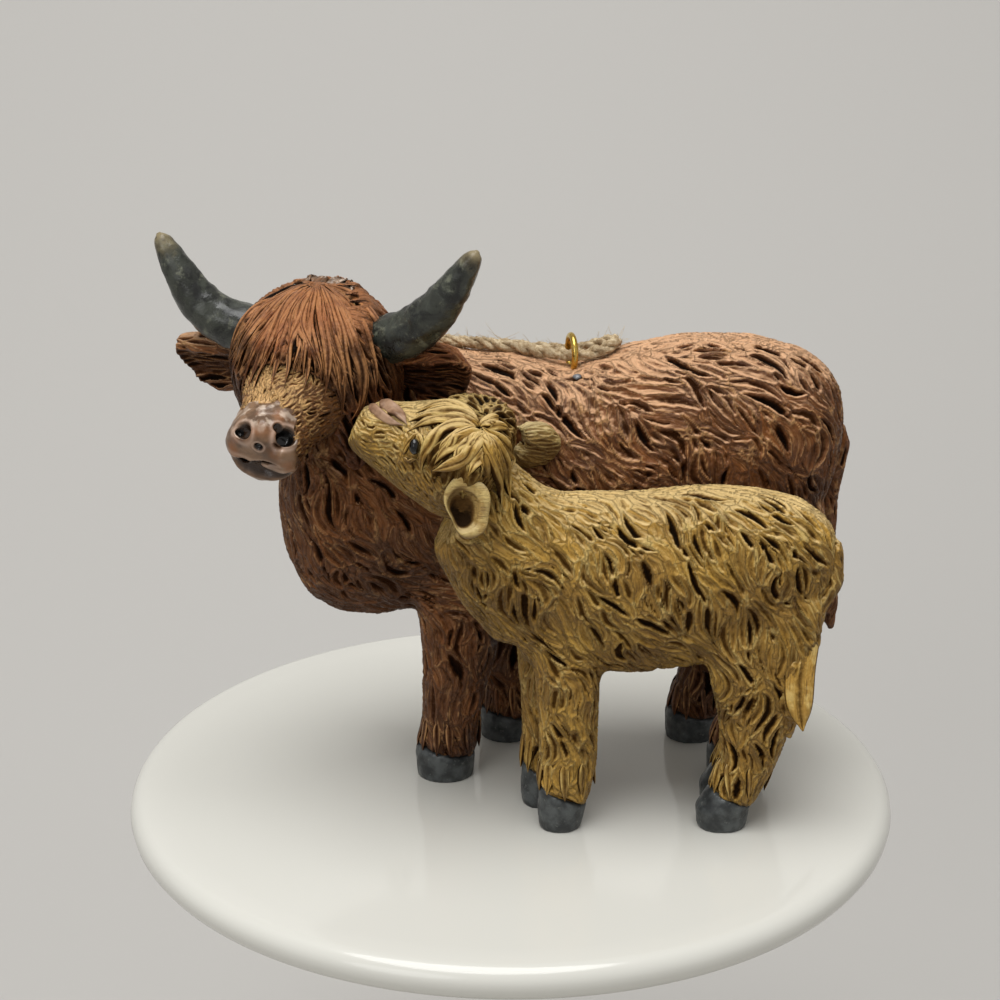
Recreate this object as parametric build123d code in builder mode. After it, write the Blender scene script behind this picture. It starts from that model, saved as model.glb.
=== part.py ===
"""A cast resin cow with her calf, a screw eye in her back and a loop of jute twine.

Millimetres, +Z up. The origin is on the floor, under the middle of the figures.
The cow stands along X with her brisket towards -X and turns her head towards -Y, where the calf stands.
Left and right are the animals' own.
"""
from build123d import *
from math import copysign, cos, pi, radians, sin, tan
import os

os.makedirs("parts", exist_ok=True)

# Driving sizes of the cow: brisket to rump, floor to back, across the barrel, and poll to nose
cow_length = 84.0
cow_height = 67.0
cow_width = 26.0
cow_head_length = 22.0
cow_front_x = -34.6
cow_middle_y = 11.0

# Driving sizes of the calf, measured the same way. It leans this far into its mother's side
calf_length = 52.0
calf_height = 50.0
calf_width = 16.0
calf_head_length = 18.0
calf_front_x = -5.6
calf_lean = 1.0
calf_middle_y = cow_middle_y - (cow_width + calf_width) / 2 + calf_lean

# How each head is turned about the vertical, dipped and rolled, in degrees
cow_head_turns = (21.0, 25.0, 0.0)
calf_head_turns = (97.0, -22.0, 15.0)

# How far the neck turns with the head, in degrees
cow_neck_turn = 18.0

# The cow's trunk and neck as rings: along, out and up, then half across and half tall
cow_trunk_shares = [
    (0.179, 0.0, 0.690, 0.430, 0.255),
    (0.274, 0.0, 0.690, 0.480, 0.270),
    (0.417, 0.0, 0.680, 0.500, 0.283),
    (0.515, 0.0, 0.660, 0.500, 0.272),
    (0.620, 0.0, 0.690, 0.502, 0.288),
    (0.720, 0.0, 0.712, 0.505, 0.289),
    (0.833, 0.0, 0.735, 0.485, 0.262),
    (0.922, 0.0, 0.762, 0.415, 0.205),
    (0.964, 0.0, 0.790, 0.310, 0.143),
    (0.987, 0.0, 0.808, 0.170, 0.080),
]
cow_rump_shares = (0.996, 0.0, 0.815)
cow_neck_shares = [
    (0.345, 0.0, 0.694, 0.460, 0.269),
    (0.250, -0.04, 0.694, 0.480, 0.291),
    (0.167, -0.115, 0.705, 0.473, 0.320),
    (0.098, -0.19, 0.694, 0.425, 0.290),
    (0.052, -0.25, 0.667, 0.340, 0.216),
    (0.024, -0.288, 0.655, 0.195, 0.118),
]
cow_brisket_shares = (0.010, -0.288, 0.655)

# The calf's trunk and neck, in the same order
calf_trunk_shares = [
    (0.140, 0.0, 0.740, 0.430, 0.240),
    (0.280, 0.0, 0.737, 0.490, 0.250),
    (0.450, 0.0, 0.730, 0.500, 0.258),
    (0.620, 0.0, 0.752, 0.505, 0.255),
    (0.770, 0.0, 0.780, 0.480, 0.215),
    (0.890, 0.0, 0.800, 0.400, 0.165),
    (0.965, 0.0, 0.815, 0.250, 0.095),
]
calf_rump_shares = (0.995, 0.0, 0.820)
calf_neck_shares = [
    (0.330, 0.0, 0.740, 0.470, 0.235),
    (0.190, -0.01, 0.760, 0.470, 0.235),
    (0.080, -0.05, 0.850, 0.450, 0.195),
    (-0.010, -0.10, 0.980, 0.420, 0.160),
]

# Heads as rings along the muzzle: ahead and towards the crown of the poll, then half across and half tall
cow_poll_shares = (0.085, -0.404, 1.015)
cow_head_shares = [
    (-0.36, -0.02, 0.36, 0.32),
    (-0.14, -0.03, 0.49, 0.38),
    (0.14, -0.04, 0.48, 0.36),
    (0.36, -0.06, 0.38, 0.31),
    (0.59, -0.07, 0.265, 0.26),
    (0.77, -0.07, 0.230, 0.23),
    (0.91, -0.065, 0.235, 0.23),
    (0.99, -0.06, 0.18, 0.18),
]
calf_poll_shares = (0.015, -0.15, 1.100)
calf_head_shares = [
    (-0.38, -0.02, 0.32, 0.33),
    (-0.12, -0.02, 0.45, 0.42),
    (0.17, -0.03, 0.47, 0.43),
    (0.44, -0.05, 0.38, 0.37),
    (0.67, -0.08, 0.29, 0.28),
    (0.85, -0.09, 0.24, 0.22),
    (0.97, -0.10, 0.18, 0.15),
]
muzzle_starts_share = 0.80

# Nostrils: across, towards the crown, radius and depth. Mouth: towards the crown, gap and depth
nostril_shares = (0.13, 0.02, 0.05, 0.08)
mouth_shares = (-0.16, 0.022, 0.09)

# Horns in the head's own directions: across, towards the crown and ahead, then the radius
horn_right_shares = [
    (-0.42, 0.07, -0.05, 0.160),
    (-0.64, 0.14, -0.03, 0.155),
    (-0.80, 0.27, -0.05, 0.138),
    (-0.92, 0.47, -0.10, 0.105),
    (-1.015, 0.65, -0.16, 0.060),
]
horn_right_tip_shares = (-1.045, 0.70, -0.18)
horn_left_shares = [
    (0.42, 0.07, -0.05, 0.160),
    (0.67, 0.18, -0.05, 0.152),
    (0.87, 0.35, -0.08, 0.132),
    (1.03, 0.55, -0.14, 0.095),
    (1.13, 0.69, -0.19, 0.055),
]
horn_left_tip_shares = (1.16, 0.73, -0.21)

# Ears: across, towards the crown and ahead, then half wide and half thick, and where each one faces
cow_ear_left_shares = [
    (0.42, -0.15, -0.06, 0.12, 0.10),
    (0.56, -0.19, -0.07, 0.24, 0.12),
    (0.74, -0.20, -0.09, 0.28, 0.12),
    (0.90, -0.18, -0.12, 0.21, 0.09),
]
cow_ear_left_tip_shares = (1.00, -0.16, -0.14)
cow_ear_left_facing_shares = (0.0, -0.2, 1.0)
cow_ear_right_shares = [
    (-0.46, -0.15, 0.00, 0.12, 0.10),
    (-0.64, -0.20, -0.02, 0.22, 0.12),
    (-0.84, -0.23, -0.04, 0.24, 0.12),
    (-1.02, -0.23, -0.07, 0.19, 0.09),
]
cow_ear_right_tip_shares = (-1.13, -0.21, -0.09)
cow_ear_right_facing_shares = (0.0, -0.2, 1.0)
calf_ear_left_shares = [
    (0.40, 0.14, -0.02, 0.14, 0.11),
    (0.48, 0.07, -0.06, 0.20, 0.13),
    (0.54, -0.04, -0.11, 0.22, 0.14),
    (0.57, -0.15, -0.15, 0.18, 0.12),
]
calf_ear_left_tip_shares = (0.57, -0.25, -0.19)
calf_ear_left_facing_shares = (0.9, 0.1, 0.4)
calf_ear_right_shares = [
    (-0.34, 0.04, -0.14, 0.10, 0.09),
    (-0.46, 0.02, -0.25, 0.18, 0.11),
    (-0.58, -0.02, -0.37, 0.20, 0.11),
    (-0.68, -0.06, -0.49, 0.13, 0.08),
]
calf_ear_right_tip_shares = (-0.74, -0.09, -0.56)
calf_ear_right_facing_shares = (-0.7, 0.0, 0.7)
ear_hollow_share = 0.78
ear_hollow_depth_share = 0.75

# The hair over the brow: up and ahead of the poll, then half across and half deep
forelock_shares = [
    (-0.72, 0.14, 0.42, 0.32),
    (-0.45, 0.10, 0.51, 0.42),
    (-0.15, 0.05, 0.56, 0.47),
    (0.12, 0.04, 0.53, 0.49),
    (0.30, 0.02, 0.39, 0.42),
]
forelock_crown_shares = (0.42, -0.02)
brow_opening_shares = (0.27, 0.13, 0.95)
topknot_shares = [
    (0.00, 0.03, 0.52, 0.50),
    (0.22, 0.02, 0.49, 0.50),
    (0.39, 0.00, 0.34, 0.38),
]
topknot_crown_shares = (0.51, -0.02)

# Legs from the foot up: up and back, then half fore and aft and half across
cow_front_leg_shares = [
    (0.000, 0.000, 0.063, 0.061),
    (0.060, 0.000, 0.067, 0.064),
    (0.119, 0.013, 0.061, 0.060),
    (0.194, 0.018, 0.066, 0.061),
    (0.299, 0.034, 0.079, 0.067),
    (0.403, 0.036, 0.090, 0.070),
    (0.493, 0.037, 0.097, 0.066),
]
cow_hind_leg_shares = [
    (0.000, 0.000, 0.059, 0.058),
    (0.060, 0.003, 0.064, 0.061),
    (0.119, 0.018, 0.060, 0.058),
    (0.209, 0.045, 0.062, 0.060),
    (0.299, 0.060, 0.069, 0.066),
    (0.418, 0.052, 0.100, 0.075),
    (0.537, 0.052, 0.125, 0.073),
    (0.640, 0.052, 0.125, 0.060),
]
calf_front_leg_shares = [
    (0.000, 0.000, 0.060, 0.060),
    (0.050, 0.004, 0.067, 0.065),
    (0.120, 0.012, 0.072, 0.066),
    (0.200, 0.022, 0.078, 0.066),
    (0.320, 0.022, 0.080, 0.067),
    (0.480, 0.018, 0.088, 0.070),
    (0.620, 0.012, 0.095, 0.066),
]
calf_hind_leg_shares = [
    (0.000, 0.000, 0.070, 0.060),
    (0.060, 0.000, 0.077, 0.065),
    (0.130, 0.040, 0.074, 0.066),
    (0.210, 0.072, 0.078, 0.066),
    (0.330, 0.088, 0.100, 0.068),
    (0.460, 0.088, 0.130, 0.070),
    (0.580, 0.096, 0.160, 0.070),
    (0.700, 0.100, 0.160, 0.064),
]

# Where each foot stands, as shares of the length and the width, and how far its leg leans
cow_feet_shares = {
    "front_left": (0.293, -0.25, 1.0),
    "front_right": (0.407, 0.288, 0.2),
    "hind_left": (0.820, -0.25, 1.0),
    "hind_right": (0.756, 0.269, 1.0),
}
calf_feet_shares = {
    "front_left": (0.244, -0.22, 1.0),
    "front_right": (0.198, 0.25, 1.0),
    "hind_left": (0.698, -0.22, 1.0),
    "hind_right": (0.722, 0.25, 1.0),
}

# Hooves: height at the middle of the foot, how the coronet falls to the heel, and the cleft
cow_hoof_height = 4.4
calf_hoof_height = 5.4
coronet_fall = 13.0
calf_coronet_fall = 24.0
cleft_width = 0.8
cleft_reach_share = 0.8

# Tails: along, out and up, then half across and half thick
cow_tail_shares = [
    (0.965, 0.0, 0.880, 0.055, 0.022),
    (0.993, 0.0, 0.760, 0.060, 0.022),
    (0.978, 0.0, 0.640, 0.062, 0.021),
    (0.978, 0.0, 0.500, 0.060, 0.020),
    (0.990, 0.0, 0.380, 0.058, 0.020),
]
cow_tail_tip_shares = (1.0, 0.0, 0.297)
calf_tail_shares = [
    (0.910, -0.06, 0.935, 0.10, 0.032),
    (0.965, -0.09, 0.850, 0.11, 0.034),
    (0.972, -0.12, 0.740, 0.11, 0.032),
    (0.938, -0.20, 0.620, 0.12, 0.032),
    (0.900, -0.30, 0.530, 0.15, 0.042),
    (0.890, -0.33, 0.400, 0.14, 0.042),
]
calf_tail_tip_shares = (0.895, -0.33, 0.280)

# The calf's eyes in its head's directions, and their radius. The hair nearly covers the right one
calf_eye_shares = [(0.36, 0.20, 0.45), (-0.38, 0.07, 0.45)]
calf_eye_radius = 1.1
calf_eye_ring_shares = [(-0.9, 0.6), (0.1, 1.0), (0.6, 0.8), (0.95, 0.35)]

# The brass screw eye in the back
eye_wire = 0.95
eye_outer_diameter = 5.9
eye_shank_length = 7.0
eye_hole_clearance = 0.1
eye_turn = 10.0
eye_place_shares = (0.518, 0.0, 0.969)
eye_gap_turn = 30.0

# The bead of glue round the screw eye's foot: height from the back's surface and radius
glue_radius = 1.3
glue_rise = 0.9
glue_ring_shares = [(-1.0, 0.8), (0.0, 1.0), (0.5, 0.85), (1.0, 0.4)]

# The jute twine: its route from the knot, over the back, through the screw eye and back to the knot
twine_diameter = 1.8
arc_share = 0.45
twine_route = [
    (-19.6, 25.1, 37.5),
    (-19.6, 25.1, 44.5),
    (-19.0, 25.4, 52.0),
    (-17.4, 23.9, 59.2),
    (-13.2, 20.3, 64.2),
    (-6.2, 17.1, 64.9),
    (1.6, 15.4, 64.9),
    (8.6, 15.4, 63.9),
    (13.2, 14.2, 65.4),
    (15.8, 11.9, 66.7),
    (14.9, 9.7, 66.2),
    (11.2, 10.2, 64.6),
    (6.0, 11.4, 64.6),
    (-1.2, 11.9, 65.8),
    (-8.2, 14.1, 66.0),
    (-13.4, 17.9, 65.0),
    (-16.0, 22.5, 60.8),
    (-17.0, 25.4, 53.4),
    (-17.6, 25.1, 45.0),
    (-17.6, 25.1, 37.5),
]
knot_radius = 2.3
knot_height = 4.6
knot_tail_length = 5.0
knot_tail_spread = 2.2
knot_ring_shares = [(0, 0.85), (0.3, 1.0), (0.7, 1.0), (1, 0.85)]

# Sides to a ring of the figures, and to the twine and the eye's wire
ring_sides = 16
round_sides = 8


def corners(centre, half_across, half_tall, flatness, side, square_to):
    """The corners of an oval ring of straight sides, widened only along its top and bottom sides.

    A side slants alike in every ring of one flatness, so each facet between two parallel rings is flat.
    """
    level = Plane(origin=centre, x_dir=side, z_dir=square_to)
    grown = 1 / cos(pi / ring_sides)
    round_across = flatness * half_tall
    places = []
    for i in range(ring_sides):
        turn = 2 * pi * (i + 1 / 2) / ring_sides
        widened = copysign(half_across - round_across, cos(turn))
        local = Vector(grown * round_across * cos(turn) + widened, grown * half_tall * sin(turn))
        places.append(level.from_local_coords(local))
    return places


def form_of(rings, side, last=None, square_to=None):
    """A faceted solid through parallel rings of (centre, half across, half tall), drawn to a point if one is given."""
    square_to = square_to or rings[-1][0] - rings[0][0]
    flatness = min(half_across / half_tall for centre, half_across, half_tall in rings)
    places = [corners(*ring, flatness, side, square_to) for ring in rings]
    outlines = [places[0]]
    for near, far in zip(places, places[1:]):
        for i in range(ring_sides):
            outlines.append([near[i - 1], near[i], far[i], far[i - 1]])
    if last:
        for i in range(ring_sides):
            outlines.append([places[-1][i - 1], places[-1][i], last])
    else:
        outlines.append(places[-1])
    facets = [Face(Wire.make_polygon(outline)) for outline in outlines]
    with BuildPart() as form:
        add(Solid(Shell(facets)))
    return form


def carved(form, *others):
    """The form without what its larger neighbours fill. Only its main solid is kept."""
    with BuildPart() as cut:
        add(form.part)
        for other in others:
            add(other.part, mode=Mode.SUBTRACT)
    with BuildPart() as kept:
        add(cut.part.solids().sort_by(SortBy.VOLUME)[-1])
    return kept


def finish(form, name):
    form.part.label = name
    export_step(form.part, f"parts/{name}.step")


def body_place(animal, along, out, up):
    """A point of an animal's body from its shares."""
    front_x, middle_y, length, width, height = animal
    return Vector(front_x + along * length, middle_y + out * width, up * height)


def body_rings(animal, shares):
    width, height = animal[3], animal[4]
    return [(body_place(animal, *row[:3]), row[3] * width, row[4] * height) for row in shares]


def head_frame(poll, turns):
    """A plane at the poll: x to the animal's left, y to its crown, z ahead along the muzzle."""
    yaw, dip, roll = (radians(turn) for turn in turns)
    ahead = Vector(-sin(yaw) * cos(dip), -cos(yaw) * cos(dip), -sin(dip))
    left = Vector(cos(yaw), -sin(yaw), 0)
    crown = ahead.cross(left)
    return Plane(origin=poll, x_dir=left * cos(roll) - crown * sin(roll), z_dir=ahead)


def in_head(frame, length, across, crown, ahead):
    return frame.from_local_coords(Vector(across * length, crown * length, ahead * length))


def head_form(frame, length, shares):
    rings = [(in_head(frame, length, 0, row[1], row[0]), row[2] * length, row[3] * length) for row in shares]
    return form_of(rings, frame.x_dir, square_to=frame.z_dir)


def split_off(form, plane, keep):
    with BuildPart() as piece:
        add(form.part)
        split(bisect_by=plane, keep=keep)
    return piece


def with_nostrils_and_mouth(muzzle, frame, length, end_share):
    """The muzzle with two nostrils and the slit of the mouth sunk into its end."""
    across, crown, radius, depth = (share * length for share in nostril_shares)
    mouth_crown, mouth_gap, mouth_depth = (share * length for share in mouth_shares)
    end = frame.offset(end_share * length)
    with BuildPart() as face:
        add(muzzle.part)
        with BuildSketch(end):
            with Locations((-across, crown), (across, crown)):
                RegularPolygon(radius, round_sides)
        extrude(amount=-depth, mode=Mode.SUBTRACT)
        with BuildSketch(end):
            with Locations((0, mouth_crown)):
                Rectangle(length, mouth_gap)
        extrude(amount=-mouth_depth, mode=Mode.SUBTRACT)
    return face


def horn(frame, length, shares, tip):
    rings = [(in_head(frame, length, *row[:3]), row[3] * length, row[3] * length) for row in shares]
    return form_of(rings, frame.z_dir, last=in_head(frame, length, *tip))


def ear(frame, length, shares, tip, facing):
    """A leaf-shaped cup along a spine out of the head, hollow on the side that it faces."""
    root = in_head(frame, length, *shares[0][:3])
    spine = in_head(frame, length, *tip) - root
    wide = spine.cross(in_head(frame, length, *facing) - frame.origin).normalized()
    hollow = wide.cross(spine).normalized()

    def leaf(scale, depth_share):
        rings = []
        for across, crown, ahead, half_wide, half_thick in shares:
            centre = in_head(frame, length, across, crown, ahead) + hollow * depth_share * half_thick * length
            rings.append((centre, half_wide * scale * length, half_thick * scale * length))
        end = in_head(frame, length, *tip) + hollow * depth_share * shares[-1][4] * length
        return form_of(rings, wide, last=end, square_to=spine)

    outer = leaf(1, 0)
    with BuildPart() as cup:
        add(outer.part)
        add(leaf(ear_hollow_share, ear_hollow_depth_share).part, mode=Mode.SUBTRACT)
    return cup


def hair_cap(frame, length, shares, crown):
    """The cap of hair over a poll, as level rings round the head's own upright."""
    rings = []
    for up, ahead, half_across, half_deep in shares:
        rings.append((in_head(frame, length, 0, up, ahead), half_across * length, half_deep * length))
    end = in_head(frame, length, 0, *crown)
    return form_of(rings, frame.x_dir, last=end, square_to=frame.y_dir)


def leg_and_hoof(animal, foot, shares, hoof_height, fall):
    """A leg lofted up from its sole, and the cloven hoof cut from its lower end."""
    height = animal[4]
    along, out, lean = foot
    sole = body_place(animal, along, out, 0)
    rings = []
    for up, back, half_long, half_across in shares:
        centre = sole + Vector(back * lean * height, 0, up * height)
        rings.append((centre, half_long * height, half_across * height))
    whole = form_of(rings, Vector(1, 0, 0), square_to=Vector(0, 0, 1))
    coronet = Plane(origin=sole + Vector(0, 0, hoof_height), z_dir=Vector(tan(radians(fall)), 0, 1))
    toe = shares[0][2] * height
    with BuildPart() as hoof:
        add(split_off(whole, coronet, Keep.BOTTOM).part)
        with BuildSketch(Plane(origin=sole, z_dir=Vector(0, 0, 1))):
            with BuildLine():
                Polyline(
                    (-2 * toe, -cleft_width),
                    (-2 * toe, cleft_width),
                    (-(1 - cleft_reach_share) * toe, 0),
                    (-2 * toe, -cleft_width),
                )
            make_face()
        extrude(amount=2 * hoof_height, mode=Mode.SUBTRACT)
    return split_off(whole, coronet, Keep.TOP), hoof


def eye_form(centre, wire_radius):
    """The screw eye's open ring and its shank, in wire of the given radius."""
    radius = (eye_outer_diameter - eye_wire) / 2
    turn = radians(eye_turn)
    bore = Vector(cos(turn), sin(turn), 0)
    foot = centre - Vector(0, 0, radius)
    with BuildPart() as eye:
        with BuildSketch(Plane(origin=foot, x_dir=Vector(0, 0, 1), z_dir=bore.cross(Vector(0, 0, 1)))):
            RegularPolygon(wire_radius, round_sides)
        revolve(axis=Axis(centre, bore), revolution_arc=360 - eye_gap_turn)
        with BuildSketch(Plane(origin=foot - Vector(0, 0, eye_shank_length + wire_radius - eye_wire / 2))):
            RegularPolygon(wire_radius, round_sides)
        extrude(amount=eye_shank_length + wire_radius - eye_wire / 2)
    return eye


# Cow: trunk, neck, head and muzzle
cow = (cow_front_x, cow_middle_y, cow_length, cow_width, cow_height)
trunk_form = form_of(
    body_rings(cow, cow_trunk_shares),
    Vector(0, 1, 0),
    last=body_place(cow, *cow_rump_shares),
    square_to=Vector(1, 0, 0),
)
eye_place = body_place(cow, *eye_place_shares)
cow_trunk = carved(trunk_form, eye_form(eye_place, eye_wire / 2 + eye_hole_clearance))
finish(cow_trunk, "cow_trunk")

neck_across = Vector(-sin(radians(cow_neck_turn)), cos(radians(cow_neck_turn)), 0)
neck_form = form_of(
    body_rings(cow, cow_neck_shares),
    neck_across,
    last=body_place(cow, *cow_brisket_shares),
    square_to=Vector(0, 0, 1).cross(neck_across),
)
cow_neck = carved(neck_form, trunk_form)
finish(cow_neck, "cow_neck")

cow_poll = body_place(cow, *cow_poll_shares)
cow_frame = head_frame(cow_poll, cow_head_turns)
cow_head_form = head_form(cow_frame, cow_head_length, cow_head_shares)
cow_muzzle_plane = cow_frame.offset(muzzle_starts_share * cow_head_length)
cow_head = carved(split_off(cow_head_form, cow_muzzle_plane, Keep.BOTTOM), cow_neck, trunk_form)
finish(cow_head, "cow_head")
cow_muzzle = with_nostrils_and_mouth(
    split_off(cow_head_form, cow_muzzle_plane, Keep.TOP), cow_frame, cow_head_length, cow_head_shares[-1][0]
)
finish(cow_muzzle, "cow_muzzle")

# Cow: forelock, horns and ears
opening_across, opening_top, opening_drop = (share * cow_head_length for share in brow_opening_shares)
cap_form = hair_cap(cow_frame, cow_head_length, forelock_shares, forelock_crown_shares)
with BuildPart() as hair:
    add(cap_form.part)
    with BuildSketch(cow_frame):
        with BuildLine():
            ThreePointArc((-opening_across, -opening_top), (0, opening_across / 2), (opening_across, -opening_top))
            Polyline(
                (opening_across, -opening_top),
                (opening_across, -opening_drop),
                (-opening_across, -opening_drop),
                (-opening_across, -opening_top),
            )
        make_face()
    extrude(amount=cow_head_length, mode=Mode.SUBTRACT)
cow_forelock = carved(hair, cow_head_form, neck_form, trunk_form)
finish(cow_forelock, "cow_forelock")

cow_horns = {
    "cow_horn_right": horn(cow_frame, cow_head_length, horn_right_shares, horn_right_tip_shares),
    "cow_horn_left": horn(cow_frame, cow_head_length, horn_left_shares, horn_left_tip_shares),
}
for name, form in cow_horns.items():
    cow_horns[name] = carved(form, cow_head_form, cap_form)
    finish(cow_horns[name], name)

cow_ears = {
    "cow_ear_left": (cow_ear_left_shares, cow_ear_left_tip_shares, cow_ear_left_facing_shares),
    "cow_ear_right": (cow_ear_right_shares, cow_ear_right_tip_shares, cow_ear_right_facing_shares),
}
for name, ear_shape in cow_ears.items():
    cup = ear(cow_frame, cow_head_length, *ear_shape)
    finish(carved(cup, cow_head_form, cap_form, neck_form, trunk_form, *cow_horns.values()), name)

# Cow: legs, hooves and tail
cow_legs = []
for place, foot in cow_feet_shares.items():
    shares = cow_front_leg_shares if place.startswith("front") else cow_hind_leg_shares
    leg, hoof = leg_and_hoof(cow, foot, shares, cow_hoof_height, coronet_fall)
    leg = carved(leg, trunk_form, neck_form)
    cow_legs.append(leg)
    finish(leg, f"cow_leg_{place}")
    finish(hoof, f"cow_hoof_{place}")

tail_form = form_of(body_rings(cow, cow_tail_shares), Vector(0, 1, 0), last=body_place(cow, *cow_tail_tip_shares))
cow_tail = carved(tail_form, trunk_form, *cow_legs)
finish(cow_tail, "cow_tail")

# Calf: trunk, neck, head and muzzle
calf = (calf_front_x, calf_middle_y, calf_length, calf_width, calf_height)
calf_trunk_form = form_of(
    body_rings(calf, calf_trunk_shares),
    Vector(0, 1, 0),
    last=body_place(calf, *calf_rump_shares),
    square_to=Vector(1, 0, 0),
)
calf_trunk = carved(calf_trunk_form, trunk_form)
finish(calf_trunk, "calf_trunk")
calf_neck_form = form_of(body_rings(calf, calf_neck_shares), Vector(0, 1, 0))
calf_neck = carved(calf_neck_form, calf_trunk_form, trunk_form, neck_form)
finish(calf_neck, "calf_neck")

calf_poll = body_place(calf, *calf_poll_shares)
calf_frame = head_frame(calf_poll, calf_head_turns)
calf_head_form = head_form(calf_frame, calf_head_length, calf_head_shares)
calf_muzzle_plane = calf_frame.offset(muzzle_starts_share * calf_head_length)
cow_front = (trunk_form, neck_form, cow_head_form, cap_form)
calf_face = split_off(calf_head_form, calf_muzzle_plane, Keep.BOTTOM)
calf_head = carved(calf_face, calf_neck_form, calf_trunk_form, *cow_front)
finish(calf_head, "calf_head")
calf_muzzle = with_nostrils_and_mouth(
    split_off(calf_head_form, calf_muzzle_plane, Keep.TOP), calf_frame, calf_head_length, calf_head_shares[-1][0]
)
calf_muzzle = carved(calf_muzzle, *cow_front)
finish(calf_muzzle, "calf_muzzle")

# Calf: topknot, eyes and ears
calf_cap_form = hair_cap(calf_frame, calf_head_length, topknot_shares, topknot_crown_shares)
calf_topknot = carved(calf_cap_form, calf_head_form, calf_neck_form, calf_trunk_form, *cow_front)
finish(calf_topknot, "calf_topknot")
with BuildPart() as calf_eyes:
    for place in calf_eye_shares:
        middle = in_head(calf_frame, calf_head_length, *place)
        outward = calf_frame.x_dir * copysign(calf_eye_radius, place[0])
        rings = []
        for reach, size in calf_eye_ring_shares:
            rings.append((middle + outward * reach, size * calf_eye_radius, size * calf_eye_radius))
        add(form_of(rings, calf_frame.z_dir, square_to=outward).part)
    add(calf_head_form.part, mode=Mode.SUBTRACT)
    add(calf_cap_form.part, mode=Mode.SUBTRACT)
finish(calf_eyes, "calf_eyes")
calf_ears = {
    "calf_ear_left": (calf_ear_left_shares, calf_ear_left_tip_shares, calf_ear_left_facing_shares),
    "calf_ear_right": (calf_ear_right_shares, calf_ear_right_tip_shares, calf_ear_right_facing_shares),
}
for name, ear_shape in calf_ears.items():
    cup = ear(calf_frame, calf_head_length, *ear_shape)
    cup = carved(cup, calf_head_form, calf_cap_form, calf_neck_form, calf_trunk_form, *cow_front)
    finish(cup, name)

# Calf: legs, hooves and tail
calf_legs = []
for place, foot in calf_feet_shares.items():
    shares = calf_front_leg_shares if place.startswith("front") else calf_hind_leg_shares
    leg, hoof = leg_and_hoof(calf, foot, shares, calf_hoof_height, calf_coronet_fall)
    leg = carved(leg, calf_trunk_form, calf_neck_form, trunk_form, *cow_legs, *calf_legs)
    calf_legs.append(leg)
    finish(leg, f"calf_leg_{place}")
    finish(hoof, f"calf_hoof_{place}")
calf_tail_form = form_of(
    body_rings(calf, calf_tail_shares), Vector(0, 1, 0), last=body_place(calf, *calf_tail_tip_shares)
)
calf_tail = carved(calf_tail_form, calf_trunk_form, trunk_form, *calf_legs, *cow_legs)
finish(calf_tail, "calf_tail")

# Screw eye and its bead of glue
screw_eye = eye_form(eye_place, eye_wire / 2)
finish(screw_eye, "screw_eye")
eye_foot = eye_place - Vector(0, 0, (eye_outer_diameter - eye_wire) / 2)
rings = []
for rise, size in glue_ring_shares:
    rings.append((eye_foot + Vector(0, 0, rise * glue_rise), size * glue_radius, size * glue_radius))
glue_form = form_of(rings, Vector(1, 0, 0), square_to=Vector(0, 0, 1))
finish(carved(glue_form, trunk_form, screw_eye), "glue_bead")

# Twine and its knot
points = [Vector(*point) for point in twine_route]
radii = []
for before, corner, after in zip(points, points[1:], points[2:]):
    turn = radians((corner - before).get_angle(after - corner))
    shorter = min((corner - before).length, (after - corner).length)
    radii.append(arc_share * shorter / tan(turn / 2))
print("twine arc radii:", [round(radius, 1) for radius in radii])
with BuildPart() as hang_twine:
    with BuildLine() as route:
        FilletPolyline(*points, radius=radii)
    with BuildSketch(Plane(origin=points[0], z_dir=points[1] - points[0])):
        RegularPolygon(twine_diameter / 2, round_sides)
    sweep(path=route.wires()[0])
length = route.wires()[0].length
print("twine length:", round(length, 1))
section = round_sides / 2 * sin(2 * pi / round_sides) * twine_diameter**2 / 4
print("twine volume over section times length:", round(hang_twine.part.volume / (section * length), 4))
finish(hang_twine, "hang_twine")

knot_top = (points[0] + points[-1]) / 2
down = Vector(0, 0, -1)
rings = []
for drop, size in knot_ring_shares:
    rings.append((knot_top + down * drop * knot_height, size * knot_radius, size * knot_radius))
with BuildPart() as twine_knot:
    add(form_of(rings, Vector(1, 0, 0), square_to=down).part)
    with BuildSketch(Plane(origin=knot_top + down * (knot_height + knot_tail_length))):
        with Locations((-knot_tail_spread / 2, 0), (knot_tail_spread / 2, 0)):
            RegularPolygon(twine_diameter / 2, round_sides)
    extrude(amount=knot_tail_length)
finish(twine_knot, "twine_knot")
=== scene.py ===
"""A cast resin cow with her calf on a white round stand: moulded hair, horns, screw eye and jute twine.

The frame's coordinates are in metres. Lengths below are in millimetres, and MM turns them into metres.
"""

from math import cos, pi, radians, sin

import bmesh
import bpy
import numpy as np
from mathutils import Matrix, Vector, noise
from mathutils.bvhtree import BVHTree
from mathutils.kdtree import KDTree


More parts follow.
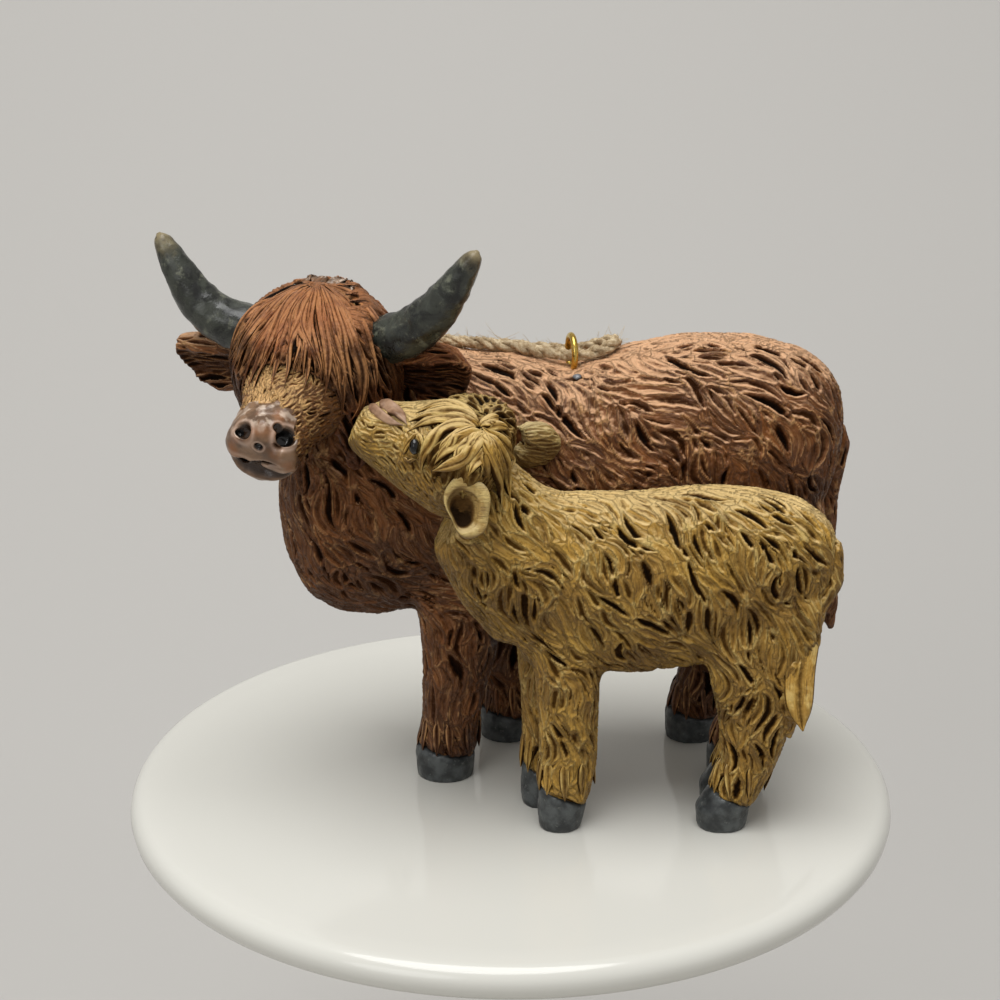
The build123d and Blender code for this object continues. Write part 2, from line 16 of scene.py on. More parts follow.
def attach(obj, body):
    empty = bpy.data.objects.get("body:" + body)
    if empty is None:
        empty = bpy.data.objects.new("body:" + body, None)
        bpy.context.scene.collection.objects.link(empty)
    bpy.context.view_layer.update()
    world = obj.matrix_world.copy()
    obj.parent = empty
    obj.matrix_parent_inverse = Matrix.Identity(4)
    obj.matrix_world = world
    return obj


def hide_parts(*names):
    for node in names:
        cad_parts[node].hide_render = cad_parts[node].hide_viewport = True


MM = 0.001
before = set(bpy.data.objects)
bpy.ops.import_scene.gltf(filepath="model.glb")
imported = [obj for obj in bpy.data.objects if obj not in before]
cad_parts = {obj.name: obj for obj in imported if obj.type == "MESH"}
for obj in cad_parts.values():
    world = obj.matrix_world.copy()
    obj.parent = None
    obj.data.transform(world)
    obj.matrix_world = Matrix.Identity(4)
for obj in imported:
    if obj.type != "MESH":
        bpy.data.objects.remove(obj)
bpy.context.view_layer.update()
rng = np.random.default_rng(7)
fine = 1

# The camera, from the photograph's horizon, stand and hooves
camera_place = (-1.6, -274.0, 139.0)
camera_dip = 18.8
camera_lens = 72.0
camera_sensor = 36.0
photo_side = 1000
camera_focus = camera_lens / camera_sensor * photo_side
camera_ahead = (0, cos(radians(camera_dip)), -sin(radians(camera_dip)))
camera_up = (0, sin(radians(camera_dip)), cos(radians(camera_dip)))

# The heads, as in the CAD: poll, length, and turn, dip and roll in degrees
cow_head_sizes = ((-27.46, 0.5, 68.0), 22.0, (21.0, 25.0, 0.0))
calf_head_sizes = ((-4.82, -11.4, 55.0), 18.0, (97.0, -22.0, 15.0))

# Which way the hair lies: a place, and the direction there. The far sides mirror the near ones
cow_middle_y = 11.0
calf_middle_y = -9.0
cow_guides = [
    ((-22, 0, 62), (0.5, -0.3, -0.8)),
    ((-5, -1, 60), (0.3, -0.2, -1.0)),
    ((0, -2, 50), (0.7, 0, -0.7)),
    ((5, 0, 60), (0.5, -0.2, -1.0)),
    ((10, -2, 50), (0.8, 0, -0.6)),
    ((14, -1, 58), (0.4, 0, -1.0)),
    ((20, 0, 61), (1.0, -0.1, -0.15)),
    ((20, -2, 52), (0.8, 0, -0.7)),
    ((28, 2, 64), (0.8, -0.4, -0.5)),
    ((27, -2, 48), (0.3, 0, -1.0)),
    ((35, 0, 58), (0.8, 0, -0.7)),
    ((36, -1, 48), (0.5, 0, -1.0)),
    ((43, 3, 60), (0.6, 0, -0.9)),
    ((46, 4, 50), (0.3, 0, -1.0)),
    ((0, 11, 66), (1.0, -0.4, 0)),
    ((30, 11, 67), (1.0, -0.3, 0)),
    ((-30, 2, 45), (0.1, -0.2, -1.0)),
    ((-31, 4, 32), (0.7, 0, -0.7)),
    ((-20, -3, 40), (0.5, 0, -0.9)),
    ((-12, 0, 33), (0.8, 0, -0.5)),
    ((0, -2, 36), (0.7, 0, -0.5)),
    ((25, -2, 36), (0.7, 0, -0.6)),
    ((42, 2, 38), (0.2, 0, -1.0)),
    ((-9, 4, 20), (0.1, 0, -1.0)),
    ((33, 4, 20), (0.1, 0, -1.0)),
]
calf_guides = [
    ((-2, -15, 50), (0.6, -0.2, -0.8)),
    ((4, -17, 44), (0.8, 0, -0.6)),
    ((-1, -17, 38), (0.3, 0, -1.0)),
    ((-4, -15, 34), (0.2, 0, -1.0)),
    ((8, -17, 38), (0.5, 0, -0.9)),
    ((12, -14, 48), (0.7, -0.3, -0.7)),
    ((16, -17, 42), (0.4, 0, -0.9)),
    ((22, -17, 40), (0.35, 0, -1.0)),
    ((28, -15, 47), (0.55, -0.3, -0.8)),
    ((34, -16, 40), (0.35, 0, -1.0)),
    ((42, -13, 42), (0.4, 0, -1.0)),
    ((10, -17, 30), (0.7, 0, -0.8)),
    ((20, -16, 29), (0.7, 0, -0.6)),
    ((32, -16, 30), (0.3, 0, -1.0)),
    ((20, -11, 50), (0.8, -0.6, -0.3)),
    ((40, -9, 46), (1.0, 0, -0.5)),
    ((6, -12, 20), (0.1, 0, -1.0)),
    ((33, -12, 20), (-0.1, 0, -1.0)),
]

# Locks over the cow's brow and on the calf's head: points of the photograph, and half a width in millimetres
cow_locks = [
    ([(310, 286), (288, 300), (266, 324), (246, 348), (232, 376), (230, 408)], 1.3),
    ([(308, 288), (280, 314), (262, 340), (250, 360), (246, 382)], 1.2),
    ([(302, 292), (288, 306), (276, 326), (268, 348), (262, 372)], 1.1),
    ([(306, 290), (288, 312), (281, 332), (275, 352), (268, 374)], 1.0),
    ([(312, 290), (292, 310), (288, 332), (292, 350), (302, 376)], 1.3),
    ([(312, 288), (302, 304), (297, 324), (307, 344), (316, 360), (316, 380)], 1.2),
    ([(317, 287), (314, 306), (318, 332), (329, 360), (337, 388), (342, 410)], 1.2),
    ([(320, 287), (327, 308), (334, 336), (341, 364), (345, 392), (340, 420)], 1.2),
    ([(322, 287), (338, 310), (350, 338), (360, 366), (367, 392), (360, 412), (350, 422)], 1.5),
    ([(324, 286), (346, 302), (362, 324), (372, 350), (377, 376), (374, 400)], 1.2),
    ([(326, 286), (352, 296), (370, 312), (382, 332), (386, 350)], 1.2),
    ([(308, 285), (278, 294), (252, 312), (236, 334), (229, 360), (227, 392)], 1.3),
    ([(306, 284), (272, 288), (246, 302), (230, 324), (226, 350)], 1.2),
    ([(316, 288), (306, 312), (312, 336), (322, 358), (326, 384)], 1.0),
    ([(323, 288), (334, 316), (344, 346), (352, 374), (356, 398)], 1.1),
    ([(300, 292), (270, 312), (248, 340), (236, 368), (232, 402)], 1.3),
    ([(310, 290), (286, 320), (268, 346), (256, 368), (250, 390)], 1.1),
    ([(312, 290), (296, 316), (284, 342), (276, 366), (270, 388)], 1.1),
    ([(314, 290), (300, 320), (294, 348), (290, 370), (284, 391)], 1.0),
    ([(316, 290), (308, 318), (310, 344), (312, 368), (303, 392)], 1.2),
    ([(318, 290), (320, 320), (328, 350), (330, 376), (322, 400)], 1.2),
    ([(322, 288), (342, 312), (354, 340), (363, 370), (366, 398), (360, 424)], 1.6),
]
calf_locks = [
    ([(478, 426), (468, 411), (448, 404), (430, 407), (416, 414)], 1.1),
    ([(478, 428), (460, 418), (440, 418), (420, 424), (406, 433)], 1.2),
    ([(478, 430), (460, 425), (443, 431), (430, 442), (424, 456), (423, 472)], 1.3),
    ([(480, 431), (462, 437), (448, 450), (436, 466)], 1.4),
    ([(480, 432), (470, 444), (462, 456), (455, 470)], 1.1),
    ([(481, 430), (490, 444), (499, 458), (507, 472), (513, 484)], 1.2),
    ([(482, 428), (496, 436), (506, 447), (511, 460), (508, 474)], 1.3),
    ([(482, 433), (484, 450), (490, 466), (497, 484), (501, 500)], 1.1),
    ([(481, 428), (492, 420), (498, 415)], 1.2),
    ([(484, 428), (498, 426), (508, 430)], 1.0),
    ([(478, 424), (462, 412), (446, 412), (426, 418), (410, 424)], 1.0),
    ([(480, 432), (474, 448), (462, 460), (446, 468), (434, 471)], 1.4),
    ([(482, 434), (480, 452), (476, 466), (468, 476)], 1.3),
    ([(484, 434), (488, 452), (494, 470), (498, 488), (500, 506)], 1.3),
    ([(484, 432), (496, 446), (504, 462), (508, 480), (510, 500)], 1.3),
    ([(482, 434), (484, 456), (486, 474), (490, 492)], 1.2),
]

# The cow's muzzle: pits at points of the photograph, with half width, half height, turn, depth and shade
cow_nose_dents = [
    (288, 436, 1.9, 1.5, 18, 1.8, 1.0),
    (279, 428, 0.9, 0.8, 0, 0.7, 0.7),
    (242, 430, 1.5, 1.35, -30, 1.1, 0.72),
    (240, 433, 0.8, 0.7, -20, 0.6, 1.0),
    (258, 447, 0.75, 0.7, 0, 0.6, 0.9),
    (262, 428, 1.2, 2.3, 0, -0.35, 0.0),
    (264, 408, 2.6, 1.2, 0, -0.30, 0.0),
    (262, 472, 5.8, 1.5, -12, 1.2, 0.55),
]
cow_lip = [(233, 455), (246, 459), (262, 463), (280, 467), (298, 465)]
calf_nose_lines = [
    ([(372, 403), (381, 402), (390, 407), (399, 415), (407, 425)], 1.0),
    ([(371, 406), (378, 412), (387, 419), (396, 424), (404, 427)], 0.75),
]
calf_lids = [
    ([(404, 455), (407, 446), (411, 438), (416, 434), (421, 434)], 0.4),
    ([(416, 433), (421, 438), (422, 446), (420, 455), (415, 463)], 0.55),
    ([(403, 457), (408, 460), (413, 461), (418, 458)], 0.35),
]

# More of the photograph: the middle line of the tuft on the calf's tail, points on that tail, in the near ear
# and on the bead of glue, and the columns where the cow's bare muzzle ends and where her fur starts
calf_tuft = [(808, 630), (803, 650), (800, 672), (799, 694), (800, 714), (803, 732)]
calf_tail_spot = (803, 690)
calf_ear_spot = (468, 506)
glue_spot = (577, 377)
muzzle_end = (296, 302)
under_muzzle_end = (290, 297)
fur_start = 294

# The cow's horns, as in the CAD, in shares of her head's length: across, up, ahead, and the radius
horn_right_shares = [
    (-0.42, 0.07, -0.05, 0.160),
    (-0.64, 0.14, -0.03, 0.155),
    (-0.80, 0.27, -0.05, 0.138),
    (-0.92, 0.47, -0.10, 0.105),
    (-1.015, 0.65, -0.16, 0.060),
    (-1.045, 0.70, -0.18, 0.015),
]
horn_left_shares = [
    (0.42, 0.07, -0.05, 0.160),
    (0.67, 0.18, -0.05, 0.152),
    (0.87, 0.35, -0.08, 0.132),
    (1.03, 0.55, -0.14, 0.095),
    (1.13, 0.69, -0.19, 0.055),
    (1.16, 0.73, -0.21, 0.015),
]

# The jute twine's route, in millimetres, the same points as in the CAD
twine_diameter = 1.8
twine_route = [
    (-19.6, 25.1, 37.5),
    (-19.6, 25.1, 44.5),
    (-19.0, 25.4, 52.0),
    (-17.4, 23.9, 59.2),
    (-13.2, 20.3, 64.2),
    (-6.2, 17.1, 64.9),
    (1.6, 15.4, 64.9),
    (8.6, 15.4, 63.9),
    (13.2, 14.2, 65.4),
    (15.8, 11.9, 66.7),
    (14.9, 9.7, 66.2),
    (11.2, 10.2, 64.6),
    (6.0, 11.4, 64.6),
    (-1.2, 11.9, 65.8),
    (-8.2, 14.1, 66.0),
    (-13.4, 17.9, 65.0),
    (-16.0, 22.5, 60.8),
    (-17.0, 25.4, 53.4),
    (-17.6, 25.1, 45.0),
    (-17.6, 25.1, 37.5),
]


def linked(name, data):
    obj = bpy.data.objects.new(name, data)
    bpy.context.scene.collection.objects.link(obj)
    return obj


def places_of(obj):
    """The vertices of a mesh, in millimetres."""
    co = np.empty(len(obj.data.vertices) * 3, np.float32)
    obj.data.vertices.foreach_get("co", co)
    return co.reshape(-1, 3).astype(float) / MM


def normals_of(obj):
    normals = np.empty(len(obj.data.vertices) * 3, np.float32)
    obj.data.vertex_normals.foreach_get("vector", normals)
    return normals.reshape(-1, 3).astype(float)


def move_to(obj, places):
    obj.data.vertices.foreach_set("co", (places * MM).astype(np.float32).ravel())
    obj.data.update()


def applied(obj):
    """The object with its modifiers turned into mesh."""
    depsgraph = bpy.context.evaluated_depsgraph_get()
    mesh = bpy.data.meshes.new_from_object(obj.evaluated_get(depsgraph))
    old = obj.data
    obj.modifiers.clear()
    obj.data = mesh
    bpy.data.meshes.remove(old)
    return obj


def subdivide(obj):
    finer = obj.modifiers.new("finer", "SUBSURF")
    finer.levels = finer.render_levels = 1 + fine


def merged(name, objects, keep=False):
    """Several meshes as one piece."""
    shape = bmesh.new()
    for obj in objects:
        shape.from_mesh(obj.data)
        if not keep:
            bpy.data.objects.remove(obj)
    mesh = bpy.data.meshes.new(name)
    shape.to_mesh(mesh)
    shape.free()
    return linked(name, mesh)


def skin(name, nodes, voxel=0.7, smoothing=4, swell=0.1):
    """The skin round CAD nodes that overlap or touch: smoothed, subdivided and a little swollen."""
    obj = merged(name, [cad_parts[node] for node in nodes], keep=True)
    remesh = obj.modifiers.new("remesh", "REMESH")
    remesh.mode = "VOXEL"
    remesh.voxel_size = voxel * MM
    remesh.adaptivity = 0
    smooth = obj.modifiers.new("smooth", "SMOOTH")
    smooth.factor = 0.5
    smooth.iterations = smoothing
    subdivide(obj)
    applied(obj)
    move_to(obj, places_of(obj) + normals_of(obj) * swell)
    return obj


def give(obj, name, values):
    """A named value at each vertex, which the materials read."""
    kind = "FLOAT_VECTOR" if values.ndim == 2 else "FLOAT"
    attribute = obj.data.attributes.new(name, kind, "POINT")
    field = "vector" if values.ndim == 2 else "value"
    attribute.data.foreach_set(field, values.astype(np.float32).ravel())


def made(name, places, faces, **values):
    """A mesh from places in millimetres, with the values that its material reads."""
    mesh = bpy.data.meshes.new(name)
    mesh.from_pydata([Vector(place) * MM for place in places], [], faces)
    obj = linked(name, mesh)
    for key, rows in values.items():
        give(obj, key, np.array(rows))
    return obj


def walled(rings, sides, first=0):
    """The faces of a closed tube through rings of vertices."""
    faces = []
    for i in range(rings - 1):
        for j in range(sides):
            a, b = first + i * sides + j, first + i * sides + (j + 1) % sides
            faces.append((a, b, b + sides, a + sides))
    faces.append([first + j for j in range(sides)][::-1])
    faces.append([first + (rings - 1) * sides + j for j in range(sides)])
    return faces


def inside_out(faces):
    return [face[:1] + face[:0:-1] for face in faces]


def painted(obj, material):
    obj.data.materials.clear()
    obj.data.materials.append(material)
    obj.data.polygons.foreach_set("use_smooth", np.ones(len(obj.data.polygons), bool))


def finished(obj, material, nodes=()):
    """Shades a piece, gives it its material, and lets it stand for its CAD nodes."""
    painted(obj, material)
    if nodes:
        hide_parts(*nodes)
    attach(obj, "root")


def parts_of(animal, part):
    return [f"{animal}_{part}_{end}_{side}" for end in ("front", "hind") for side in ("left", "right")]


def unit(rows):
    return rows / np.maximum(np.linalg.norm(rows, axis=-1, keepdims=True), 1e-9)


def smoothstep(low, high, value):
    share = np.clip((value - low) / (high - low), 0, 1)
    return share * share * (3 - 2 * share)


def ripple(places, pitch=0.2):
    x, y, z = places.T * pitch
    return np.sin(x + 1.3) * np.sin(0.8 * z) * np.cos(0.9 * y)


def along_tangent(ways, normals):
    return unit(ways - normals * (ways * normals).sum(1)[:, None])


def arc_of(path):
    """How far along a path each of its points lies."""
    return np.r_[0, np.cumsum(np.linalg.norm(np.diff(path, axis=0), axis=1))]


def read_at(at, arc, rows):
    return np.column_stack([np.interp(at, arc, rows[:, k]) for k in range(3)])


def resampled(path, step):
    arc = arc_of(path)
    at = np.linspace(0, arc[-1], max(2, int(arc[-1] / step)))
    return read_at(at, arc, path), at


def eased(rows, steps):
    """Rows of numbers with smooth steps put between them."""
    rows = np.array(rows, float)
    rows = np.vstack([2 * rows[0] - rows[1], rows, 2 * rows[-1] - rows[-2]])
    found = []
    for a, b, c, d in zip(rows, rows[1:], rows[2:], rows[3:]):
        for t in np.arange(steps) / steps:
            square = t * t * (a - 2.5 * b + 2 * c - d / 2)
            found.append(b + t * (c - a) / 2 + square + t**3 * (1.5 * (b - c) + (d - a) / 2))
    return np.vstack([found, rows[-2]])


class Head:
    """A head's poll, length and own directions: to its left, to its crown and ahead, as in the CAD."""

    def __init__(self, poll, length, turns):
        yaw, dip, roll = (radians(turn) for turn in turns)
        ahead = np.array([-sin(yaw) * cos(dip), -cos(yaw) * cos(dip), -sin(dip)])
        level = np.array([cos(yaw), -sin(yaw), 0])
        left = level * cos(roll) - np.cross(ahead, level) * sin(roll)
        self.poll, self.length = np.array(poll), length
        self.axes = np.array([left, np.cross(ahead, left), ahead])
        self.left, self.crown, self.ahead = self.axes

    def place(self, share):
        """A place from its shares of the head's length."""
        return self.poll + np.array(share, float) @ self.axes * self.length

    def forward(self, places):
        """How far ahead of the poll places lie."""
        return (places - self.poll) @ self.ahead


cow_head = Head(*cow_head_sizes)
calf_head = Head(*calf_head_sizes)


def flow_over(places, normals, guides, middle_y=None):
    """The direction in which the hair lies at each place, from the guides nearest to it."""
    total = np.zeros_like(places)
    for side in (1, -1) if middle_y is not None else (1,):
        for spot, way in guides:
            spot, way = np.array(spot, float), unit(np.array(way, float))
            if side < 0:
                spot[1] = 2 * middle_y - spot[1]
                way[1] = -way[1]
            apart = ((places - spot) ** 2).sum(1)
            total += way * (1 / (apart + 6.0) ** 2)[:, None]
    return along_tangent(total, normals)


def sight(px, py):
    """The camera's line of sight through a point of the photograph."""
    across, down = px - photo_side / 2, py - photo_side / 2
    ahead = Vector(camera_ahead) * camera_focus
    return (ahead + Vector((1, 0, 0)) * across - Vector(camera_up) * down).normalized()


def column_of(places):
    """How far to the right places lie in the photograph, in its pixels."""
    away = places - np.array(camera_place)
    return photo_side / 2 + away[:, 0] / (away @ camera_ahead / camera_focus)


def spot_on(obj, px, py):
    """The place and normal at a point of the photograph."""
    tree = BVHTree.FromObject(obj, bpy.context.evaluated_depsgraph_get())
    place, normal = tree.ray_cast(Vector(camera_place) * MM, sight(px, py))[:2]
    return np.array(place) / MM, np.array(normal)


trees_made = {}


def tree_of(obj):
    """A piece as a tree for rays, made once."""
    if obj.name not in trees_made:
        trees_made[obj.name] = BVHTree.FromObject(obj, bpy.context.evaluated_depsgraph_get())
    return trees_made[obj.name]


def seen_on(objects, pixels, lift):
    """A path over the pieces from points of the photograph, with the skin's normals."""
    path, ups = [], []
    for px, py in pixels:
        hits = [tree_of(obj).ray_cast(Vector(camera_place) * MM, sight(px, py)) for obj in objects]
        hits = [hit for hit in hits if hit[0] is not None]
        if hits:
            place, normal = min(hits, key=lambda hit: hit[3])[:2]
            path.append(np.array(place) / MM + np.array(normal) * lift)
            ups.append(np.array(normal))
    return np.array(path), np.array(ups)


def drawn(span):
    """A number, or one drawn from a span of two."""
    return rng.uniform(*span) if isinstance(span, tuple) else span


def laid(objects, rows, lift, thick, slim=1.0):
    """Locks over the pieces, from rows of points of the photograph with half a width."""
    locks = []
    for pixels, half_wide in rows:
        path, ups = seen_on(objects, pixels, drawn(lift))
        locks.append((path, ups, half_wide * slim, drawn(thick)))
    return locks


def between(locks, count, shrink, points=9, steps=12, apart=34):
    """More locks, each led by two of those read from the photograph that end near each other."""
    found = []
    for _ in range(count):
        a, b = rng.choice(len(locks), 2, replace=False)
        ends = [np.array(locks[k][0][-1], float) for k in (a, b)]
        if np.linalg.norm(ends[0] - ends[1]) > apart:
            continue
        paths = []
        for pixels, half_wide in (locks[a], locks[b]):
            chosen = np.linspace(0, steps * (len(pixels) - 1), points).astype(int)
            paths.append(eased(pixels, steps)[chosen])
        share = rng.uniform(0.25, 0.75)
        path = paths[0] * share + paths[1] * (1 - share)
        path = path + rng.normal(0, 1.2, 2) * np.linspace(0, 1, points)[:, None]
        last = rng.integers(6, points + 1)
        found.append((path[:last].tolist(), locks[a][1] * shrink * rng.uniform(0.8, 1.1)))
    return found


def swept(name, locks, sides=12, steps=16, blunt=5):
    """Tapered locks of hair as closed shells, each with a raised rim and a sunken middle, and painted shade
    on its underside.
    """
    places, faces, crests, pits, tones, strands = [], [], [], [], [], []
    for number, (path, ups, half_wide, thick) in enumerate(locks):
        if len(path) < 3:
            continue
        arc = arc_of(path)
        at = np.linspace(0, arc[-1], steps)
        path = read_at(at, arc, path)
        for _ in range(3):
            path[1:-1] = (path[:-2] + 2 * path[1:-1] + path[2:]) / 4
        ups = unit(read_at(at, arc, ups))
        ways = unit(np.gradient(path, axis=0))
        tone = rng.random()
        faces += walled(steps, sides, len(places))
        for i in range(steps):
            share = at[i] / arc[-1]
            width = half_wide * max(0.05, (1 - (2 * share - 0.75) ** 4 / 2.45) * (1 - share**blunt))
            width *= min(1, 0.2 + 6 * share)
            height = min(1, 4 * (1 - share) + 0.1, 8 * share + 0.2)
            side = np.cross(ups[i], ways[i])
            for j in range(sides):
                across, rise = cos(2 * pi * j / sides), sin(2 * pi * j / sides)
                high = rise * thick * (0.62 + 0.5 * across**2) * height
                places.append(path[i] + side * across * width + ups[i] * high)
                crests.append(float(0.4 < abs(across) < 0.95 and rise > 0))
                # Painted shade: the underside of each lock is dark; the sunken middle takes the dark wash
                pits.append(0.4 * max(0.0, 1 - 2.2 * abs(across)) if rise > 0.1 else 0.8)
                tones.append(tone)
                strands.append((at[i], across * width, number * 0.71))
    obj = made(name, places, faces, crest=crests, pit=pits, tone=tones, lock=strands)
    subdivide(obj)
    return applied(obj)


def skirts(animal, coat_mesh, count):
    """Short locks that lap over the top of each hoof."""
    locks = []
    for hoof in parts_of(animal, "hoof"):
        places = places_of(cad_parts[hoof])
        top, middle = places[:, 2].max(), places.mean(0)
        for k in range(count):
            turn = 2 * pi * (k + rng.uniform(-0.2, 0.2)) / count
            out = np.array((cos(turn), sin(turn), 0))
            path = []
            for rise in (4.6, 3.4, 2.2, 1.1, 0.2):
                start = np.array((middle[0], middle[1], top + rise)) + out * 9
                place = tree_of(coat_mesh).ray_cast(Vector(start) * MM, Vector(-out), 9 * MM)[0]
                if place is not None:
                    path.append(np.array(place) / MM + out * (0.35 - 0.12 * rise))
            if len(path) > 3:
                path.append(path[-1] + (0, 0, -rng.uniform(0.6, 1.4)) + out * 0.1)
                locks.append((np.array(path), np.tile(out, (len(path), 1)), rng.uniform(0.6, 0.95), 0.5))
    return swept(f"{animal}_skirts", locks, sides=8, steps=8)


def hooves(animal):
    """The hooves, flat where the skin would swell below the floor."""
    nodes = parts_of(animal, "hoof")
    obj = skin(f"{animal}_hooves", nodes, voxel=0.4, smoothing=3)
    places = places_of(obj)
    places[:, 2] = np.maximum(places[:, 2], 0)
    move_to(obj, places)
    finished(obj, hoof_paint, nodes)


def scattered(places, flow, long, wide, tries=30000):
    """Places for locks of hair, no two of which are nearer than their own length and width allow."""
    apart_along, apart_across = 0.62, 0.8
    cells = np.floor(places / (apart_along * long.max())).astype(int).tolist()
    steps = [(x, y, z) for x in (-1, 0, 1) for y in (-1, 0, 1) for z in (-1, 0, 1)]
    kept, inside = [], {}
    for i in rng.choice(len(places), min(tries, len(places)), replace=False):
        x, y, z = cells[i]
        near = [k for dx, dy, dz in steps for k in inside.get((x + dx, y + dy, z + dz), ())]
        if near:
            away = places[i] - places[near]
            along = (away * flow[near]).sum(1)
            across = (away**2).sum(1) - along**2
            apart = (along / (apart_along * long[near])) ** 2 + across / (apart_across * wide[near]) ** 2
            if (apart < 1).any():
                continue
        inside.setdefault((x, y, z), []).append(i)
        kept.append(i)
    return kept


class Carving:
    """Leaf-shaped strokes pressed into a skin: how deep inside its own stroke each vertex lies.

    The vertices lie in a grid of cells and in a tree, to find those near a place.
    """

    pitch = 1.0

    def __init__(self, obj):
        self.obj = obj
        self.places, self.normals = places_of(obj), normals_of(obj)
        keys = self.key(np.floor(self.places / self.pitch).astype(int))
        self.order = np.argsort(keys)
        edges = np.flatnonzero(np.diff(keys[self.order])) + 1
        firsts, lasts = np.r_[0, edges], np.r_[edges, len(keys)]
        self.runs = dict(zip(keys[self.order[firsts]].tolist(), zip(firsts.tolist(), lasts.tolist())))
        self.tree = KDTree(len(self.places))
        for i, place in enumerate(self.places):
            self.tree.insert(place, i)
        self.tree.balance()
        count = len(self.places)
        self.first, self.second = np.full(count, -9.0), np.full(count, -9.0)
        self.depth, self.tone, self.wide = np.zeros(count), np.zeros(count), np.ones(count)
        self.lock = np.zeros((count, 3))
        self.strokes = 0

    def key(self, cells):
        cells = cells + 500
        return cells[..., 0] * 1000000 + cells[..., 1] * 1000 + cells[..., 2]

    def near(self, path, reach):
        """The vertices in the cells within reach of a path."""
        steps = range(-int(np.ceil(reach / self.pitch)), int(np.ceil(reach / self.pitch)) + 1)
        around = np.array([(x, y, z) for x in steps for y in steps for z in steps])
        cells = np.unique(np.floor(path / self.pitch).astype(int), axis=0)
        keys = set(self.key(cells[:, None] + around[None]).ravel().tolist())
        runs = [self.order[slice(*self.runs[key])] for key in keys if key in self.runs]
        return np.concatenate(runs) if runs else np.empty(0, int)

    def walked(self, start, flow, length, curl, step=0.7):
        """A lock's middle line, walked over the skin both ways from a vertex."""
        line = [start]
        for way in (-1, 1):
            at, side = start, []
            for i in range(max(1, round(length / 2 / step))):
                turn = curl * (i + 1) * step * way
                up = self.normals[at]
                ahead = flow[at] + np.cross(up, flow[at]) * turn
                at = self.tree.find(self.places[at] + unit(ahead) * way * step)[1]
                side.append(at)
            line = side[::-1] + line if way < 0 else line + side
        return self.places[line], self.normals[line]

    def press(self, path, ups, half_wide, depth, skew=0.0):
        """One stroke along a path, pointed at both ends."""
        near = self.near(path, 1.6 * half_wide + 0.2)
        if not len(near) or len(path) < 3:
            return
        ways = unit(np.gradient(path, axis=0))
        arc = arc_of(path)
        half = arc[-1] / 2
        spots = self.places[near]
        index = ((path**2).sum(1) - 2 * spots @ path.T).argmin(1)
        away, way, up = spots - path[index], ways[index], ups[index]
        side = np.cross(up, way)
        s = arc[index] - half + (away * way).sum(1)
        t = (away * side).sum(1)
        high = (away * up).sum(1)
        share = np.clip(s / half, -1, 1)
        width = half_wide * (1 - np.abs(share) ** (2.2 - skew * np.sign(share))) ** 0.85
        beyond = np.maximum(np.abs(s) - half, 0)
        inside = width - np.sqrt(t**2 + 0.2 * high**2) - beyond
        inside = np.where((self.normals[near] * up).sum(1) < 0.1, -9, inside)
        closer = inside > self.first[near]
        self.second[near] = np.where(closer, self.first[near], np.maximum(self.second[near], inside))
        self.first[near] = np.where(closer, inside, self.first[near])
        chosen = near[closer]
        self.depth[chosen] = depth
        self.wide[chosen] = half_wide
        self.tone[chosen] = rng.random()
        self.lock[chosen] = np.column_stack([s[closer], t[closer], np.full(len(chosen), self.strokes * 0.71)])
        self.strokes += 1

    def cover(self, flow, long, wide, deep, bend, where=None):
        """Strokes of hair all over, each as long and wide as its place asks, and a share of them deep."""
        long, wide = (np.broadcast_to(size, len(self.places)) for size in (long, wide))
        pool = np.arange(len(self.places)) if where is None else np.flatnonzero(where)
        kept = scattered(self.places[pool], flow[pool], long[pool], wide[pool])
        for i in pool[kept]:
            size = rng.uniform(0.75, 1.2)
            line = self.walked(i, flow, long[i] * size, rng.normal(0, bend))
            depth = rng.uniform(0.75, 1.0) if rng.random() < deep else rng.uniform(0.12, 0.55)
            self.press(*line, wide[i] / 2 * rng.uniform(0.8, 1.25), depth, rng.uniform(-0.6, 0.9))

    def sink(self, depth, rim=0.12, rim_width=0.15, twist=0.25):
        """Presses the strokes into the skin, and keeps how high each rim and how deep each hollow is."""
        edge = np.minimum(self.first, (self.first - self.second) / 2)
        self.crest = np.exp(-((edge / rim_width) ** 2))
        hollow = smoothstep(0.02, 0.75, edge / self.wide)
        self.pit = hollow * self.depth
        lean = hollow * (self.tone - 0.5) * np.clip(self.lock[:, 1] / self.wide, -1, 1) * twist
        lift = self.crest * rim - self.pit * depth + lean
        move_to(self.obj, self.places + self.normals * lift[:, None])
        return self

    def finish(self, finer=None, shade=0.0):
        """Gives the materials what they read: of this carving, of a finer one over it, and of a shade."""
        crest, pit = self.crest, self.pit
        if finer:
            crest = np.maximum(crest, 0.55 * finer.crest * (1 - 0.8 * pit))
            pit = np.maximum(pit, 0.6 * finer.pit)
        pit = np.clip(pit + shade, 0, 1)
        for name, values in (("crest", crest), ("pit", pit), ("tone", self.tone), ("lock", self.lock)):
            give(self.obj, name, values)


def coat(name, nodes, guides, middle_y, voxel, long, wide, depth):
    """A coat of hair in two sizes of stroke: large leaves, and finer ones over them."""
    obj = skin(name, nodes, voxel, swell=0.2)
    layers = []
    for share in (1.0, 0.45):
        carving = Carving(obj)
        places, normals = carving.places, carving.normals
        flow = flow_over(places, normals, guides, middle_y)
        side = np.cross(normals, flow)
        sway = 0.35 * np.sin(places[:, 2] * 0.55 + places[:, 0] * 0.3 + places[:, 1] * 0.2)
        flow = unit(flow + side * sway[:, None])
        longs = long * share**0.5 * (1 + 0.3 * ripple(places))
        wides = wide * share * (1 + 0.3 * ripple(places, 0.31))
        carving.cover(flow, longs, wides, deep=0.24 * share, bend=0.15)
        layers.append(carving.sink(depth * share**1.5, 0.13 * share))
    layers[0].finish(layers[1])
    return obj


